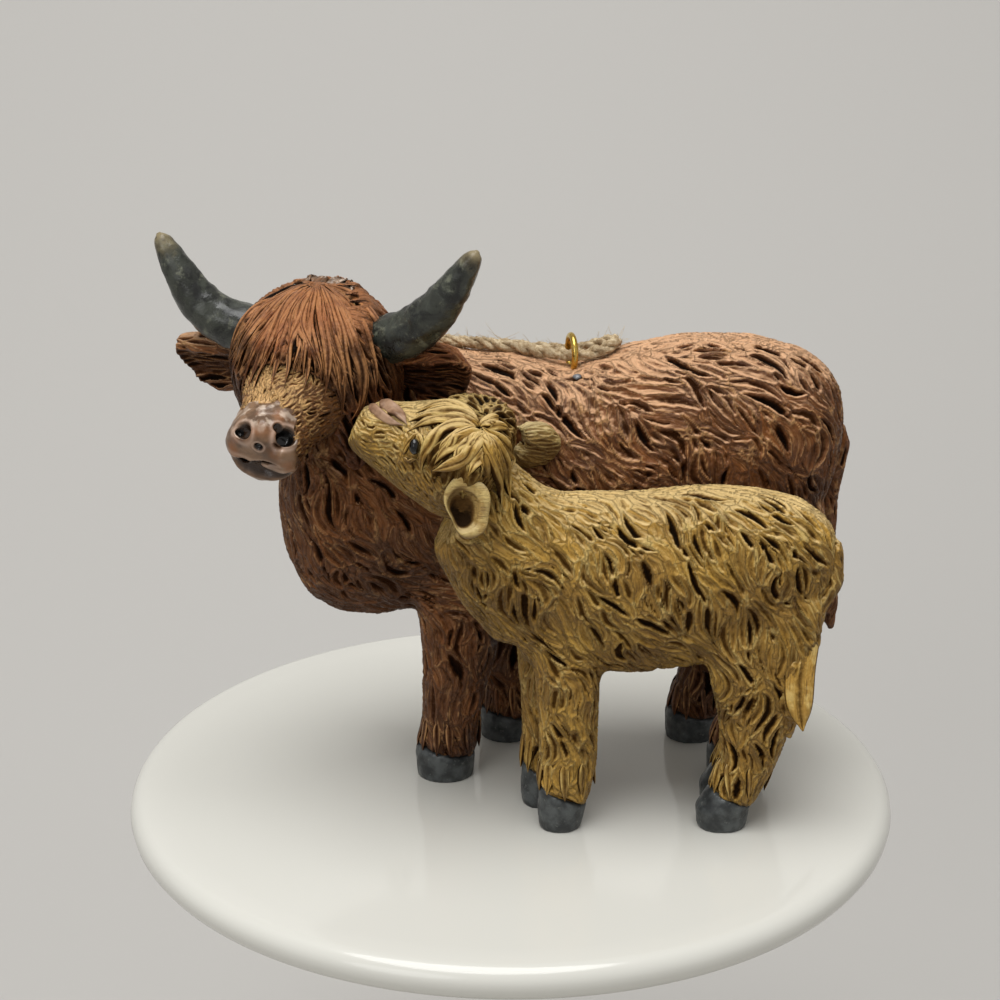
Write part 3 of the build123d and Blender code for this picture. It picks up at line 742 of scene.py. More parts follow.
def tube(name, path, radii, sides, rough=0.0, pitch=1.0):
    """A closed round tube along a path, rough by a noise of the given pitch."""
    ways = unit(np.gradient(path, axis=0))
    up = np.cross(ways[0], (0.31, 0.42, 0.85))
    places, shares = [], []
    for i, (place, way) in enumerate(zip(path, ways)):
        up = unit(up - way * (up @ way))
        side = np.cross(way, up)
        for j in range(sides):
            turn = 2 * pi * j / sides
            out = side * cos(turn) + up * sin(turn)
            spot = place + out * radii[i]
            places.append(spot + out * rough * noise.noise(Vector(spot) / pitch))
            shares.append(i / (len(path) - 1))
    return made(name, places, walled(len(path), sides), along=shares)


def drawn_in(obj):
    """Draws the calf's crown in behind its topknot, as in the photograph."""
    places = places_of(obj)
    behind = np.minimum(calf_head.forward(places) - 0.9, 0)
    move_to(obj, places - np.outer(0.5 * behind, calf_head.ahead))
    return obj


def ear_of(name, head, root, tip, facing, long, wide, depth, dark):
    """An ear ribbed from its root to its tip, and shaded in its hollow."""
    obj = skin(name, [name], voxel=0.45, smoothing=3, swell=0.12)
    carving = Carving(obj)
    places, normals = carving.places, carving.normals
    root = head.place(root)
    spine = unit(head.place(tip) - root)
    hollow = np.array(facing) @ head.axes
    hollow = unit(hollow - spine * (hollow @ spine))
    flow = along_tangent(spine + unit(places - root) * 0.8, normals)
    carving.cover(flow, long, wide, deep=0.1, bend=0.05)
    carving.sink(depth)
    high = (places - root) @ hollow
    inside = smoothstep(0.35, 0.8, normals @ hollow) * smoothstep(0.3, 1.0, np.percentile(high, 97) - high)
    carving.finish(shade=inside * dark)
    obj.name = f"{name}_moulded"
    return obj


def cup_of(name, on, pixel, half_wide, half_tall, turn, rings=14, rim=10, sides=56):
    """An open ear that faces the camera: a round rim, a hollow in front with painted shade in it, and a
    rounded back.
    """
    toward = -np.array(sight(*pixel))
    eye = np.array(camera_place)
    middle = eye + toward * ((places_of(on).mean(0) - eye) @ toward)
    right = unit(np.cross((0, 0, 1.0), toward))
    up = np.cross(toward, right)
    inner = 0.66
    rows = [(share, -1.7 * (1 - (share / inner) ** 2)) for share in np.linspace(0.03, inner, rings)]
    rows += [(inner + 0.17 * (1 - cos(a)), 0.42 * sin(a)) for a in np.linspace(0.25, pi, rim)]
    rows += [(share, -3.0 * (1 - share**2) ** 0.6) for share in np.linspace(0.97, 0.03, rings)]
    cosine, sine = cos(radians(turn)), sin(radians(turn))
    places, crests, pits = [], [], []
    for k, (share, rise) in enumerate(rows):
        off = 1 - share**2 if k < rings + rim else 0.0
        for j in range(sides):
            a = 2 * pi * j / sides
            wave = 1 + 0.06 * sin(3 * a + 0.6) + 0.04 * sin(5 * a)
            u, v = cos(a) * half_wide * share * wave, sin(a) * half_tall * share * wave
            u, v = u * cosine - v * sine, v * cosine + u * sine
            high = rise + 0.22 * sin(4 * a + 1.0) * share + 1.2
            spot = middle + right * (u - 0.34 * half_wide * off) + up * (v - 0.20 * half_tall * off)
            places.append(spot + toward * high)
            # Painted shade in the hollow (the pits below): darkest at its middle and towards its lower left
            low = 0.5 - 0.5 * (0.5 * cos(a) + 0.85 * sin(a))
            crests.append(0.8 if rings <= k < rings + rim - 1 else 0.0)
            pits.append((0.5 + 0.45 * low) * (1 - smoothstep(0.40, inner, share)) if k < rings else 0.0)
    faces = inside_out(walled(len(rows), sides))
    return made(name, places, faces, crest=crests, pit=pits, tone=np.full(len(places), 0.2), lock=places)


def dented(obj, dents):
    """Sinks pits at points of the photograph, and returns how dark each vertex gets and how much painted
    highlight it gets round each pit's rim.
    """
    dark = np.zeros(len(obj.data.vertices))
    rim_highlight = np.zeros(len(dark))
    for px, py, half_wide, half_tall, turn, depth, shade in dents:
        spot, normal = spot_on(obj, px, py)
        places = places_of(obj)
        right = unit(np.array((1.0, 0, 0)) - normal * normal[0])
        up = np.cross(normal, right)
        away = places - spot
        turn = radians(turn)
        u = away @ (right * cos(turn) + up * sin(turn)) / half_wide
        v = away @ (up * cos(turn) - right * sin(turn)) / half_tall
        reach = np.sqrt(u**2 + v**2 + (away @ normal / 3) ** 2)
        inside = 1 - smoothstep(0.35, 1.0, reach)
        move_to(obj, places - normal * (inside * depth)[:, None])
        dark = np.maximum(dark, shade * (1 - smoothstep(0.6, 1.05, reach)))
        # Painted highlight: a pale ring just outside each pit's rim
        rim_highlight = np.maximum(rim_highlight, shade * np.exp(-(((reach - 1.15) / 0.16) ** 2)))
    return dark, rim_highlight * (1 - dark)


def muzzle_of(face):
    """The cow's muzzle: smooth skin over the front of her face, with nostrils, a dimple, a lip and a chin."""
    obj = face.copy()
    obj.data = face.data.copy()
    obj.name = obj.data.name = "cow_nose"
    bpy.context.scene.collection.objects.link(obj)
    places, normals = places_of(obj), normals_of(obj)
    share = cow_head.forward(places) / cow_head.length
    bare = smoothstep(0.66, 0.73, share + 0.03 * ripple(places, 1.9))
    bare *= 1 - smoothstep(*muzzle_end, column_of(places) + 3 * ripple(places, 1.7))
    skin_lift = 0.12 * bare - 1.6 * (1 - bare)
    move_to(obj, places + normals * skin_lift[:, None])

    # The furred face is drawn in under the muzzle, so that it doesn't show through the nostrils
    places = places_of(face)
    ahead = cow_head.forward(places)
    middle = cow_head.place((0, -0.06, 0)) + ahead[:, None] * cow_head.ahead
    shrink = 0.55 * smoothstep(0.74, 0.80, ahead / cow_head.length)
    shrink *= 1 - smoothstep(*under_muzzle_end, column_of(places))
    places += (middle - places) * shrink[:, None]
    places -= cow_head.ahead * (shrink * 4.0)[:, None]
    move_to(face, places)

    for _ in range(2):
        places, normals = places_of(obj), normals_of(obj)
        lump = np.array([noise.noise(Vector(place) * 0.55) for place in places])
        move_to(obj, places + normals * (0.12 * lump)[:, None])
    dark, rim_highlight = dented(obj, cow_nose_dents)
    carving = Carving(obj)
    path, ups = seen_on([obj], cow_lip, 0.0)
    carving.press(eased(path, 4), unit(eased(ups, 4)), half_wide=0.55, depth=1.0)
    carving.sink(0.9, rim=0.05, rim_width=0.2)
    # The crest carries the lip's pale rim and the painted highlight round the nostrils
    carving.crest = np.maximum(0.5 * carving.crest, rim_highlight)
    carving.finish(shade=dark)
    return obj


class Nodes:
    """A short way to write a material's nodes."""

    def __init__(self, name):
        self.material = bpy.data.materials.new(name)
        self.material.use_nodes = True
        self.tree = self.material.node_tree
        self.shader = self.tree.nodes["Principled BSDF"]
        self.place = self.add("ShaderNodeTexCoord").outputs["Object"]

    def add(self, kind, inputs=(), **settings):
        node = self.tree.nodes.new(kind)
        for key, value in settings.items():
            setattr(node, key, value)
        for key, value in dict(inputs).items():
            self.put(value, node.inputs[key])
        return node

    def put(self, value, socket):
        if isinstance(value, bpy.types.NodeSocket):
            self.tree.links.new(value, socket)
        else:
            socket.default_value = value

    def paint(self, name, value):
        self.put(value, self.shader.inputs[name])

    def read(self, name, output="Fac"):
        return self.add("ShaderNodeAttribute", attribute_name=name).outputs[output]

    def upward(self):
        normal = self.add("ShaderNodeNewGeometry").outputs["Normal"]
        return self.add("ShaderNodeSeparateXYZ", {0: normal}).outputs[2]

    def sum(self, operation, a, b):
        return self.add("ShaderNodeMath", {0: a, 1: b}, operation=operation).outputs[0]

    def times(self, a, b):
        return self.sum("MULTIPLY", a, b)

    def plus(self, a, b):
        return self.sum("ADD", a, b)

    def ramp(self, value, low, high, out_low=0.0, out_high=1.0):
        node = self.add(
            "ShaderNodeMapRange",
            {"Value": value, "From Min": low, "From Max": high, "To Min": out_low, "To Max": out_high},
            interpolation_type="SMOOTHSTEP",
        )
        return node.outputs[0]

    def mix(self, share, a, b):
        """A mix of two colours, each from another node or written as it looks."""
        a, b = (rgb(*colour) if isinstance(colour, tuple) else colour for colour in (a, b))
        return self.add("ShaderNodeMix", {0: share, 6: a, 7: b}, data_type="RGBA").outputs[2]

    def noise(self, scale, detail, roughness=0.55, distortion=0.0, vector=None):
        inputs = {"Scale": scale, "Detail": detail, "Roughness": roughness, "Distortion": distortion}
        node = self.add("ShaderNodeTexNoise", {"Vector": vector or self.place, **inputs})
        return node.outputs["Fac"]

    def spots(self, scale, detail, low, high, out_low=0.0, out_high=1.0):
        return self.ramp(self.noise(scale, detail), low, high, out_low, out_high)

    def bump(self, height, strength, distance):
        bump = self.add("ShaderNodeBump", {"Height": height, "Strength": strength, "Distance": distance})
        self.paint("Normal", bump.outputs[0])


def rgb(red, green, blue):
    """A colour written as it looks, 0 to 255, as the linear value that a shader wants."""

    def linear(value):
        value /= 255
        return value / 12.92 if value <= 0.04045 else ((value + 0.055) / 1.055) ** 2.4

    return (linear(red), linear(green), linear(blue), 1.0)


def coat_material(name, base, warm, dark, black, pale, top, dry_brush_and_top_light=1.0):
    """Painted resin hair: a base colour in patches, a dark wash in the hollows, pale paint on the ridges,
    painted shade on hair that faces down, and a painted top light on hair that faces up.
    """
    n = Nodes(name)
    colour = n.mix(n.spots(70, 4, 0.38, 0.62), base, warm)
    tone = n.plus(n.times(n.read("tone"), 0.45), n.times(n.noise(240, 4, 0.65), 0.9))
    colour = n.mix(n.ramp(tone, 0.45, 1.1, 0.0, 0.55), colour, dark)
    strand = n.add("ShaderNodeMapping", {"Vector": n.read("lock", "Vector"), "Scale": (0.28, 3.4, 5.0)})
    hair = n.noise(1.0, 4, 0.65, 0.3, strand.outputs[0])
    colour = n.mix(n.ramp(hair, 0.52, 0.70, 0.0, 0.5), colour, pale)
    colour = n.mix(n.ramp(hair, 0.30, 0.47, 0.7, 0.0), colour, dark)
    speckle = n.noise(900, 3, 0.7)
    depth = n.plus(n.read("pit"), n.times(n.sum("SUBTRACT", speckle, 0.5), 0.45))
    colour = n.mix(n.ramp(depth, 0.10, 0.48, 0.0, 0.92), colour, dark)
    colour = n.mix(n.ramp(depth, 0.45, 0.75, 0.0, 0.95), colour, black)
    upward = n.upward()
    # Painted shade: hair that faces down is darkened towards the dark colour
    colour = n.mix(n.ramp(upward, -0.6, 0.35, 0.55, 0.0), colour, dark)
    # Pale dry-brush paint on the ridges, made stronger on hair that faces up as a painted top light
    brushed_and_top_lit = n.times(n.read("crest"), n.spots(330, 3, 0.34, 0.60, 0.15, 1.0))
    brushed_and_top_lit = n.times(brushed_and_top_lit, n.ramp(upward, -0.5, 0.5, 0.55, 1.0))
    colour = n.mix(n.ramp(brushed_and_top_lit, 0.35, 0.95, 0.0, 0.9 * dry_brush_and_top_light), colour, pale)
    # Painted top light: hair that faces up, outside the pits, is lightened towards the top colour
    painted_top_light = n.times(n.ramp(upward, 0.42, 0.82), n.ramp(hair, 0.30, 0.56, 0.6, 1.0))
    painted_top_light = n.times(painted_top_light, n.ramp(depth, 0.15, 0.5, 1.0, 0.0))
    n.paint("Base Color", n.mix(n.times(painted_top_light, 0.95 * dry_brush_and_top_light), colour, top))
    n.bump(n.plus(hair, n.times(n.noise(1700, 2), 0.5)), 0.9, 0.0006)
    n.paint("Roughness", n.ramp(speckle, 0.3, 0.7, 0.35, 0.6))
    n.paint("Specular IOR Level", n.ramp(depth, 0.1, 0.5, 0.45, 0.05))
    return n.material


def muzzle_material():
    n = Nodes("muzzle_paint")
    colour = n.mix(n.spots(320, 4, 0.4, 0.62), (92, 68, 48), (132, 102, 76))
    colour = n.mix(n.spots(180, 3, 0.5, 0.7, 0.0, 0.7), colour, (140, 88, 48))
    # Painted highlight: pale streaks on the top of the muzzle, where it faces up
    top_highlight = n.times(n.spots(650, 3, 0.48, 0.66), n.ramp(n.upward(), 0.2, 0.9))
    colour = n.mix(n.times(top_highlight, 0.75), colour, (212, 192, 172))
    # Pale crest colour: the lip's rim and the painted highlight round the nostrils
    colour = n.mix(n.times(n.read("crest"), 0.6), colour, (206, 176, 156))
    pit = n.read("pit")
    colour = n.mix(n.ramp(pit, 0.2, 0.6), colour, (52, 36, 24))
    n.paint("Base Color", n.mix(n.ramp(pit, 0.6, 0.9), colour, (9, 7, 6)))
    n.paint("Roughness", n.ramp(pit, 0.2, 0.8, 0.36, 0.2))
    n.bump(n.noise(900, 4), 0.5, 0.0002)
    return n.material


def horn_material():
    n = Nodes("horn_paint")
    mottle = n.noise(260, 5, 0.65, 0.6)
    colour = n.mix(n.ramp(mottle, 0.36, 0.62), (21, 22, 20), (58, 61, 53))
    colour = n.mix(n.ramp(n.noise(520, 4, 0.7), 0.54, 0.72, 0.0, 0.7), colour, (120, 122, 104))
    tip = n.plus(n.read("along"), n.times(mottle, 0.35))
    colour = n.mix(n.ramp(tip, 0.86, 1.08, 0.0, 0.9), colour, (140, 126, 94))
    n.paint("Base Color", n.mix(n.spots(800, 3, 0.60, 0.72, 0.0, 0.8), colour, (16, 17, 15)))
    n.paint("Roughness", n.spots(400, 3, 0.35, 0.65, 0.16, 0.45))
    n.bump(n.noise(420, 5, 0.6), 0.6, 0.0004)
    return n.material


def hoof_material():
    n = Nodes("hoof_paint")
    colour = n.mix(n.spots(500, 4, 0.35, 0.65), (38, 41, 42), (76, 80, 80))
    n.paint("Base Color", n.mix(n.spots(1500, 3, 0.62, 0.74, 0.0, 0.6), colour, (120, 122, 118)))
    n.paint("Roughness", n.spots(700, 3, 0.35, 0.65, 0.28, 0.5))
    n.bump(n.noise(800, 4), 0.5, 0.0003)
    return n.material


def nose_material():
    n = Nodes("calf_nose_paint")
    colour = n.mix(n.spots(500, 4, 0.4, 0.65), (122, 90, 66), (166, 132, 104))
    n.paint("Base Color", n.mix(n.ramp(n.read("pit"), 0.3, 0.9, 0.0, 0.8), colour, (84, 54, 44)))
    n.paint("Roughness", 0.5)
    n.bump(n.noise(1200, 3), 0.5, 0.0002)
    return n.material


def gloss_material(name, low, high, roughness, scale, metallic=0.0):
    n = Nodes(name)
    n.paint("Base Color", n.mix(n.spots(scale, 3, 0.35, 0.65), low, high))
    n.paint("Metallic", metallic)
    n.paint("Roughness", n.spots(scale * 2.3, 3, 0.3, 0.7, roughness * 0.7, roughness * 1.4))
    return n.material


def jute_material(name, low, high):
    n = Nodes(name)
    fibre = n.noise(1500, 3, 0.7)
    colour = n.mix(n.ramp(fibre, 0.35, 0.68), low, high)
    n.paint("Base Color", n.mix(n.spots(300, 2, 0.4, 0.7, 0.0, 0.4), colour, (112, 88, 60)))
    n.paint("Roughness", 0.85)
    n.paint("Specular IOR Level", 0.2)
    n.bump(fibre, 0.8, 0.0003)
    return n.material


def plain_material(name, colour, roughness, specular=0.5):
    n = Nodes(name)
    n.paint("Base Color", rgb(*colour))
    n.paint("Roughness", roughness)
    n.paint("Specular IOR Level", specular)
    return n.material


def spline_of(name, points):
    """A smooth line led by the route's points, read back as places along it in millimetres."""
    curve = bpy.data.curves.new(name, "CURVE")
    curve.dimensions = "3D"
    curve.resolution_u = 24
    spline = curve.splines.new("NURBS")
    spline.points.add(len(points) - 1)
    for point, place in zip(spline.points, points):
        point.co = (*(Vector(place) * MM), 1)
    spline.order_u = 3
    spline.use_endpoint_u = True
    obj = bpy.data.objects.new(name, curve)
    mesh = bpy.data.meshes.new_from_object(obj)
    places = np.array([vertex.co[:] for vertex in mesh.vertices]) / MM
    bpy.data.meshes.remove(mesh)
    bpy.data.objects.remove(obj)
    return places


def plied(name, path, diameter, pitch=6.5, plies=3):
    """Twisted plies round a path, each rough like spun jute."""
    path, at = resampled(path, 0.32)
    ways = unit(np.gradient(path, axis=0))
    up = np.cross(ways[0], (0.2, 0.9, 0.3))
    ups = []
    for way in ways:
        up = unit(up - way * (up @ way))
        ups.append(up)
    ups = np.array(ups)
    sides = np.cross(ways, ups)
    strands = []
    for ply in range(plies):
        turn = (at * 2 * pi / pitch + 0.5 * np.sin(at * 0.6 + ply) + 2 * pi * ply / plies)[:, None]
        line = path + (ups * np.cos(turn) + sides * np.sin(turn)) * diameter * 0.26
        radii = diameter * 0.25 * (1 + 0.22 * np.sin(at * 1.1 + 2 * ply))
        strands.append(tube(f"{name}_{ply}", line, radii, sides=14, rough=0.24, pitch=0.3))
    return merged(name, strands)


def fibres_of(name, path, count, reach):
    """Loose fibres that stand off the twine."""
    path, _ = resampled(path, 0.3)
    ways = unit(np.gradient(path, axis=0))
    shares = np.linspace(0, 1, 7)[:, None]
    hairs = []
    for i in range(count):
        k = rng.integers(2, len(path) - 2)
        out = unit(np.cross(ways[k], rng.normal(size=3)))
        length = rng.uniform(0.8, reach)
        lean = ways[k] * rng.uniform(0.4, 3.0) * rng.choice((-1, 1))
        bend = rng.normal(0, 0.3, 3) * shares**2
        way = unit(out * rng.uniform(0.2, 0.9) + lean)
        line = path[k] + out * 0.55 + (way * shares + bend) * length
        line[:, 2] = np.maximum(line[:, 2], 0.2)
        hairs.append(tube(f"{name}_{i}", line, 0.045 * (1 - 0.6 * shares[:, 0]), sides=3))
    return merged(name, hairs)


def camera():
    data = bpy.data.cameras.new("camera")
    data.lens = camera_lens
    data.clip_start = 0.01
    obj = linked("camera", data)
    obj.location = Vector(camera_place) * MM
    obj.rotation_euler = (radians(90 - camera_dip), 0, 0)
    bpy.context.scene.camera = obj


def lamp(name, place, target, size, power):
    data = bpy.data.lights.new(name, "AREA")
    data.shape = "DISK"
    data.size = size * MM
    data.energy = power
    obj = linked(name, data)
    obj.location = Vector(place) * MM
    obj.rotation_euler = (Vector(target) - Vector(place)).to_track_quat("-Z", "Y").to_euler()


def light():
    world = bpy.data.worlds.new("world")
    bpy.context.scene.world = world
    world.use_nodes = True
    background = world.node_tree.nodes["Background"].inputs
    background["Color"].default_value = (1, 0.985, 0.97, 1)
    background["Strength"].default_value = 0.47
    lamp("above", (-50, -100, 600), target=(0, 0, 30), size=500, power=3.1)
    lamp("front", (-350, -600, 350), target=(0, 0, 40), size=400, power=0.7)
    bpy.context.scene.view_settings.view_transform = "Standard"


def stage(middle_y=5.4, radius=58.0, edge=2.5, sides=200):
    """The round stand, and a backdrop that sweeps up behind it."""
    profile = [(radius - 6, 0)]
    for turn in np.linspace(pi / 2, -pi / 2, 9):
        profile.append((radius - edge + edge * cos(turn), edge * sin(turn) - edge))
    places = []
    for reach, height in profile:
        for i in range(sides):
            turn = 2 * pi * i / sides
            places.append((reach * cos(turn), middle_y + reach * sin(turn), height))
    stand = made("stand", places, inside_out(walled(len(profile), sides)))
    painted(stand, plain_material("stand_glaze", (217, 216, 208), 0.12))
    profile = [(-1200, -120), (0, -120)]
    profile += [(400 * sin(turn), 280 - 400 * cos(turn)) for turn in np.linspace(0, pi / 2, 40)]
    profile += [(400, 1200)]
    places = [(x, y, z) for y, z in profile for x in (-1200, 1200)]
    faces = [(2 * i, 2 * i + 1, 2 * i + 3, 2 * i + 2) for i in range(len(profile) - 1)]
    backdrop = made("backdrop", places, faces)
    painted(backdrop, plain_material("backdrop_paper", (195, 193, 189), 0.9, 0.1))


camera()

# In each coat paint below, top is the colour of the painted top light on hair that faces up
cow_paint = coat_material(
    "cow_paint",
    base=(106, 62, 24),
    warm=(140, 83, 33),
    dark=(48, 23, 6),
    black=(13, 6, 2),
    pale=(200, 150, 96),
    top=(232, 182, 138),
)
face_paint = coat_material(
    "cow_face_paint",
    base=(124, 77, 30),
    warm=(152, 97, 41),
    dark=(62, 34, 12),
    black=(16, 9, 4),
    pale=(208, 164, 100),
    top=(212, 168, 110),
)
forelock_paint = coat_material(
    "forelock_paint",
    base=(98, 60, 22),
    warm=(140, 76, 30),
    dark=(40, 19, 5),
    black=(12, 6, 2),
    pale=(208, 148, 92),
    top=(184, 120, 72),
    dry_brush_and_top_light=0.65,
)
calf_paint = coat_material(
    "calf_paint",
    base=(178, 135, 56),
    warm=(204, 159, 68),
    dark=(66, 40, 12),
    black=(18, 10, 3),
    pale=(220, 188, 112),
    top=(228, 196, 132),
)
ear_paint = coat_material(
    "calf_ear_paint",
    base=(170, 136, 72),
    warm=(190, 154, 84),
    dark=(92, 64, 34),
    black=(34, 22, 11),
    pale=(228, 204, 134),
    top=(230, 206, 150),
    dry_brush_and_top_light=0.8,
)
muzzle_paint = muzzle_material()
horn_paint = horn_material()
hoof_paint = hoof_material()
calf_nose_paint = nose_material()
eye_paint = gloss_material("eye_paint", (4, 3, 3), (12, 10, 9), roughness=0.06, scale=300)
brass = gloss_material("brass", (196, 160, 70), (226, 196, 110), roughness=0.22, scale=900, metallic=1.0)
glue = gloss_material("glue", (58, 60, 64), (116, 118, 122), roughness=0.1, scale=1200)
jute = jute_material("jute", (164, 140, 106), (216, 198, 164))
jute_fibre = jute_material("jute_fibre", (186, 164, 128), (224, 206, 172))

# The jute twine, its loose fibres and its knot: a trefoil loop with two short tails
line = spline_of("twine_line", twine_route)
twine = plied("twine", line, twine_diameter)
fibres = fibres_of("twine_fibres", line, count=620, reach=2.6)
knot_middle = np.array((-18.6, 25.1, 35.2))
turns = np.linspace(0, 2 * pi, 40)
across = np.sin(turns) + 2 * np.sin(2 * turns)
along = np.cos(turns) - 2 * np.cos(2 * turns)
loop = knot_middle + np.column_stack([across, -np.sin(3 * turns), along]) * (0.52, 0.62, 0.75)
knot_parts = [plied("twine_knot_loop", np.vstack([loop, loop[:2]]), diameter=1.5, pitch=3.6)]
for side in (-1, 1):
    tail = np.array(((0.5 * side, 0, 0), (0.9 * side, 0.1, -3.2), (1.3 * side, 0, -7.0)))
    knot_parts.append(plied(f"twine_tail_{side}", eased(knot_middle + tail, 8), diameter=1.6))
knot = merged("twine_knot_jute", knot_parts)
finished(twine, jute, ["hang_twine"])
finished(knot, jute, ["twine_knot"])
finished(fibres, jute_fibre)

# The screw eye, as in the CAD
eye_centre = np.array((8.91, 11.0, 64.92))
eye_side = np.array((-sin(radians(10)), cos(radians(10)), 0))
eye_radius = 2.475
wire_radius = 0.475
shank_length = 7
arc = np.linspace(0, radians(330), 60)[:, None]
ring = eye_centre + eye_radius * (np.sin(arc) * eye_side - np.cos(arc) * np.array((0, 0, 1)))
shank = np.linspace(ring[0] - (0, 0, shank_length), ring[0] - (0, 0, 0.5), 8)
eye_ring = tube("eye_ring", ring, np.full(len(ring), wire_radius), sides=20, rough=0.03, pitch=0.5)
eye_shank = tube("eye_shank", shank, np.full(len(shank), wire_radius), sides=20)
finished(merged("eye", [eye_ring, eye_shank]), brass, ["screw_eye"])

# The cow's coat, tail, hooves, horns and ears
nodes = ["cow_trunk", "cow_neck", *parts_of("cow", "leg")]
cow_coat = coat("cow_coat", nodes, cow_guides, cow_middle_y, voxel=0.9, long=10.5, wide=1.5, depth=0.75)
finished(cow_coat, cow_paint, nodes)
down = [((0, 11, 0), (0, 0, -1.0))]
cow_tail = coat("cow_switch", ["cow_tail"], down, None, voxel=0.55, long=9.0, wide=1.2, depth=0.35)
finished(cow_tail, cow_paint, ["cow_tail"])
hooves("cow")
for name, rows in (("cow_horn_right", horn_right_shares), ("cow_horn_left", horn_left_shares)):
    rows = eased(rows, 9)
    path = np.array([cow_head.place(row[:3]) for row in rows])
    radii = np.maximum(rows[:, 3], 0.012) * cow_head.length
    horn = tube(f"{name}_moulded", path, radii, sides=40, rough=0.22, pitch=1.4)
    finished(horn, horn_paint, [name])
for name, root, tip, paint in (
    ("cow_ear_left", (0.42, -0.15, -0.06), (1.0, -0.16, -0.14), forelock_paint),
    ("cow_ear_right", (-0.46, -0.15, 0.0), (-1.13, -0.21, -0.09), cow_paint),
):
    ear = ear_of(name, cow_head, root, tip, facing=(0, -0.2, 1), long=6.0, wide=1.1, depth=0.4, dark=0.3)
    finished(ear, paint, [name])

# The cow's face, drawn in under the forelock, and her muzzle
cow_face = skin("cow_face", ["cow_head", "cow_muzzle"])
places = places_of(cow_face)
_, high, ahead = ((places - cow_head.poll) @ cow_head.axes.T / cow_head.length).T
under = smoothstep(0.1, 0.25, high) * (1 - smoothstep(0.25, 0.4, ahead))
move_to(cow_face, places - normals_of(cow_face) * under[:, None])
cow_nose = muzzle_of(cow_face)
finished(cow_nose, muzzle_paint, ["cow_muzzle"])
carving = Carving(cow_face)
places = carving.places
ways = -cow_head.ahead * 0.7 - cow_head.crown * 0.3 + ripple(places, 0.6)[:, None] * cow_head.left * 1.2
furred = (cow_head.forward(places) < 17.5) | (column_of(places) > fur_start)
flow = along_tangent(ways, carving.normals)
carving.cover(flow, long=2.8, wide=0.6, deep=0.08, bend=0.35, where=furred)
carving.sink(0.35).finish()
finished(cow_face, face_paint, ["cow_head"])

# The cap of hair over the cow's brow, smoother towards its crown, with its long locks
cow_cap = skin("cow_cap", ["cow_forelock"])
carving = Carving(cow_cap)
away = carving.places - cow_head.place((0.02, 0.45, 0.05))
carving.cover(along_tangent(away, carving.normals), long=9.0, wide=1.2, deep=0.5, bend=0.03)
fade = smoothstep(2.0, 7.0, np.linalg.norm(away, axis=1))
fade *= 0.3 + 0.7 * smoothstep(0.0, 0.2, cow_head.forward(carving.places) / cow_head.length)
carving.sink(0.9 * fade, rim=0.08, twist=0.25 * fade)
carving.pit *= fade
carving.crest *= fade
carving.finish(shade=0.2 * fade)
rows = between(cow_locks, count=170, shrink=0.62) + cow_locks
locks = laid([cow_cap, cow_face], rows, lift=(0.0, 0.45), thick=(0.6, 0.9), slim=0.72)
finished(cow_cap, forelock_paint, ["cow_forelock"])
finished(swept("cow_fringe", locks), forelock_paint)

# The calf's coat, tail and hooves
nodes = ["calf_trunk", "calf_neck", *parts_of("calf", "leg")]
calf_coat = coat("calf_coat", nodes, calf_guides, calf_middle_y, voxel=0.8, long=8.6, wide=1.3, depth=0.65)
finished(calf_coat, calf_paint, nodes)
calf_tail = coat("calf_switch", ["calf_tail"], down, None, voxel=0.5, long=7.0, wide=1.3, depth=0.3)
places = places_of(calf_tail)
tuft_shift, tuft_heights = 1.3, (33.0, 38.0)
places[:, 0] -= tuft_shift * (1 - smoothstep(*tuft_heights, places[:, 2]))
move_to(calf_tail, places)
finished(calf_tail, calf_paint, ["calf_tail"])
hooves("calf")

# The bead of glue, run down to where it shows under the twine
bead = skin("glue", ["glue_bead"], voxel=0.18, smoothing=3)
spot, _ = spot_on(cow_coat, *glue_spot)
places = places_of(bead)
move_to(bead, spot + (places - places.mean(0)) * 0.62 + (0, -0.1, 0.1))
finished(bead, glue, ["glue_bead"])

# The locks over the hooves, and the tuft of the calf's tail
finished(skirts("cow", cow_coat, count=11), cow_paint)
finished(skirts("calf", calf_coat, count=9), calf_paint)
spot, _ = spot_on(calf_tail, *calf_tail_spot)
eye = np.array(camera_place)
far = np.linalg.norm(spot - eye) - 0.8
path = np.array([eye + np.array(sight(px, py)) * far for px, py in calf_tuft])
ups = np.tile(unit(eye - spot), (len(path), 1))
half_wide, thick = 2.2, 1.5
finished(swept("calf_tuft", [(path, ups, half_wide, thick)], blunt=16), calf_paint)

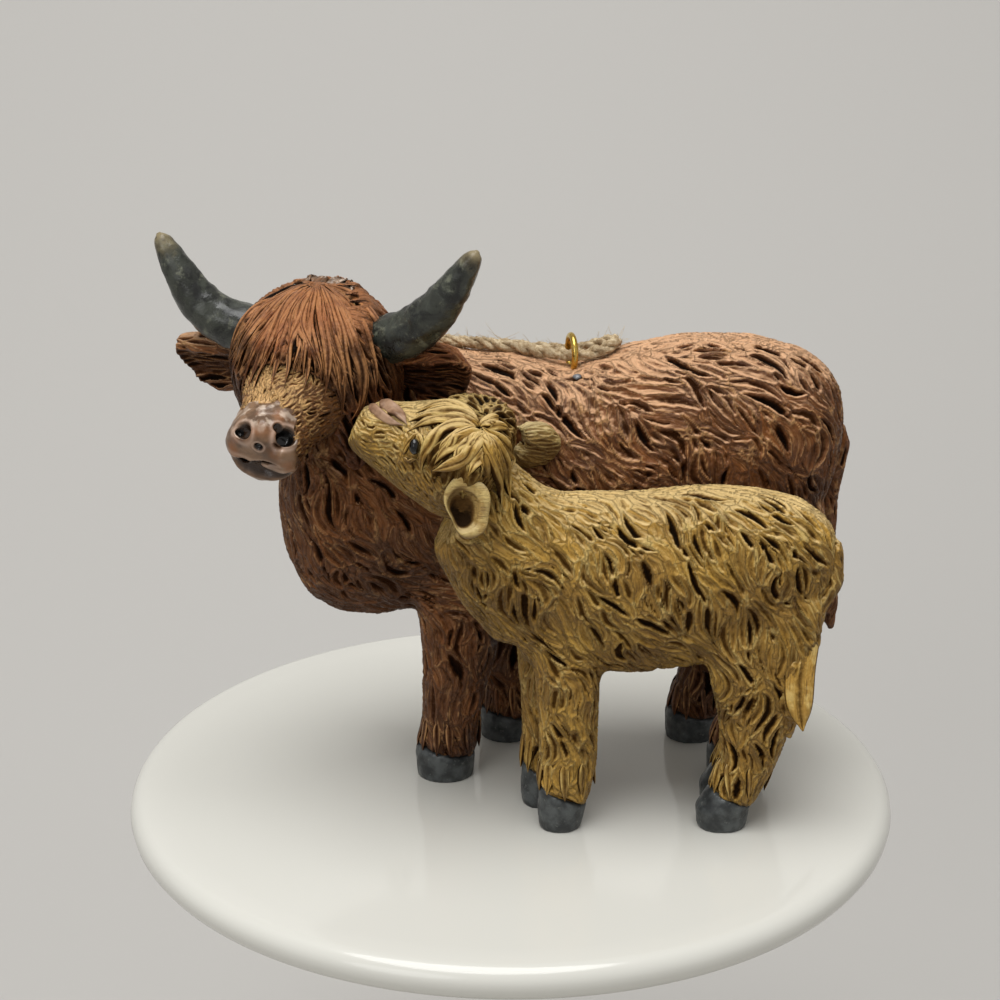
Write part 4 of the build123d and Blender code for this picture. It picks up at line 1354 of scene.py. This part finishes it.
# The calf's face, with a shade round its near eye, and its topknot
calf_face = drawn_in(skin("calf_face", ["calf_head", "calf_muzzle"], swell=0.0))
carving = Carving(calf_face)
places = carving.places
ways = -calf_head.ahead * 0.8 - calf_head.crown * 0.5 + ripple(places, 0.5)[:, None] * calf_head.crown
carving.cover(along_tangent(ways, carving.normals), long=3.0, wide=0.7, deep=0.03, bend=0.3)
eyes = places_of(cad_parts["calf_eyes"])
socket = np.linalg.norm(places - eyes[eyes[:, 1] < calf_head.poll[1]].mean(0), axis=1)
carving.sink(0.3, rim=0.11).finish(shade=0.7 * (1 - smoothstep(1.3, 2.1, socket)))
finished(calf_face, calf_paint, ["calf_head"])
calf_cap = drawn_in(skin("calf_cap", ["calf_topknot"], swell=0.15))
carving = Carving(calf_cap)
away = carving.places - calf_head.place((0.1, 0.5, 0.06))
carving.cover(along_tangent(away, carving.normals), long=6.0, wide=1.2, deep=0.3, bend=0.05)
carving.sink(0.6).finish(shade=0.3)
rows = between(calf_locks, count=110, shrink=0.6) + calf_locks
locks = laid([calf_cap, calf_face, calf_coat], rows, lift=(0.1, 0.5), thick=(0.7, 1.0), slim=0.85)
finished(calf_cap, calf_paint, ["calf_topknot"])
finished(swept("calf_fringe", locks), calf_paint)

# The calf's nose, eyes, lids and ears
folds = laid([calf_face], calf_nose_lines, lift=0.3, thick=0.6)
finished(swept("calf_nose", folds), calf_nose_paint, ["calf_muzzle"])
eyeballs = skin("calf_eyeballs", ["calf_eyes"], voxel=0.22, swell=0.05)
places = places_of(eyeballs)
near = places[:, 1] < calf_head.poll[1]
middle = places[near].mean(0)
places[near] = middle + (places[near] - middle) * (0.72, 1, 1.05) + (-0.55, 0, -0.35)
move_to(eyeballs, places)
finished(eyeballs, eye_paint, ["calf_eyes"])
lids = laid([calf_face, eyeballs], calf_lids, lift=0.15, thick=0.45)
finished(swept("calf_lids", lids), calf_paint)
name, root, tip = "calf_ear_right", (-0.34, 0.04, -0.14), (-0.74, -0.09, -0.56)
ear = ear_of(name, calf_head, root, tip, facing=(-0.7, 0, 0.7), long=5.5, wide=0.8, depth=0.07, dark=0.3)
finished(ear, ear_paint, [name])
near_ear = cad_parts["calf_ear_left"]
ear = cup_of("calf_ear_cup", near_ear, calf_ear_spot, half_wide=3.0, half_tall=4.3, turn=12)
finished(ear, ear_paint, ["calf_ear_left"])

stage()
light()
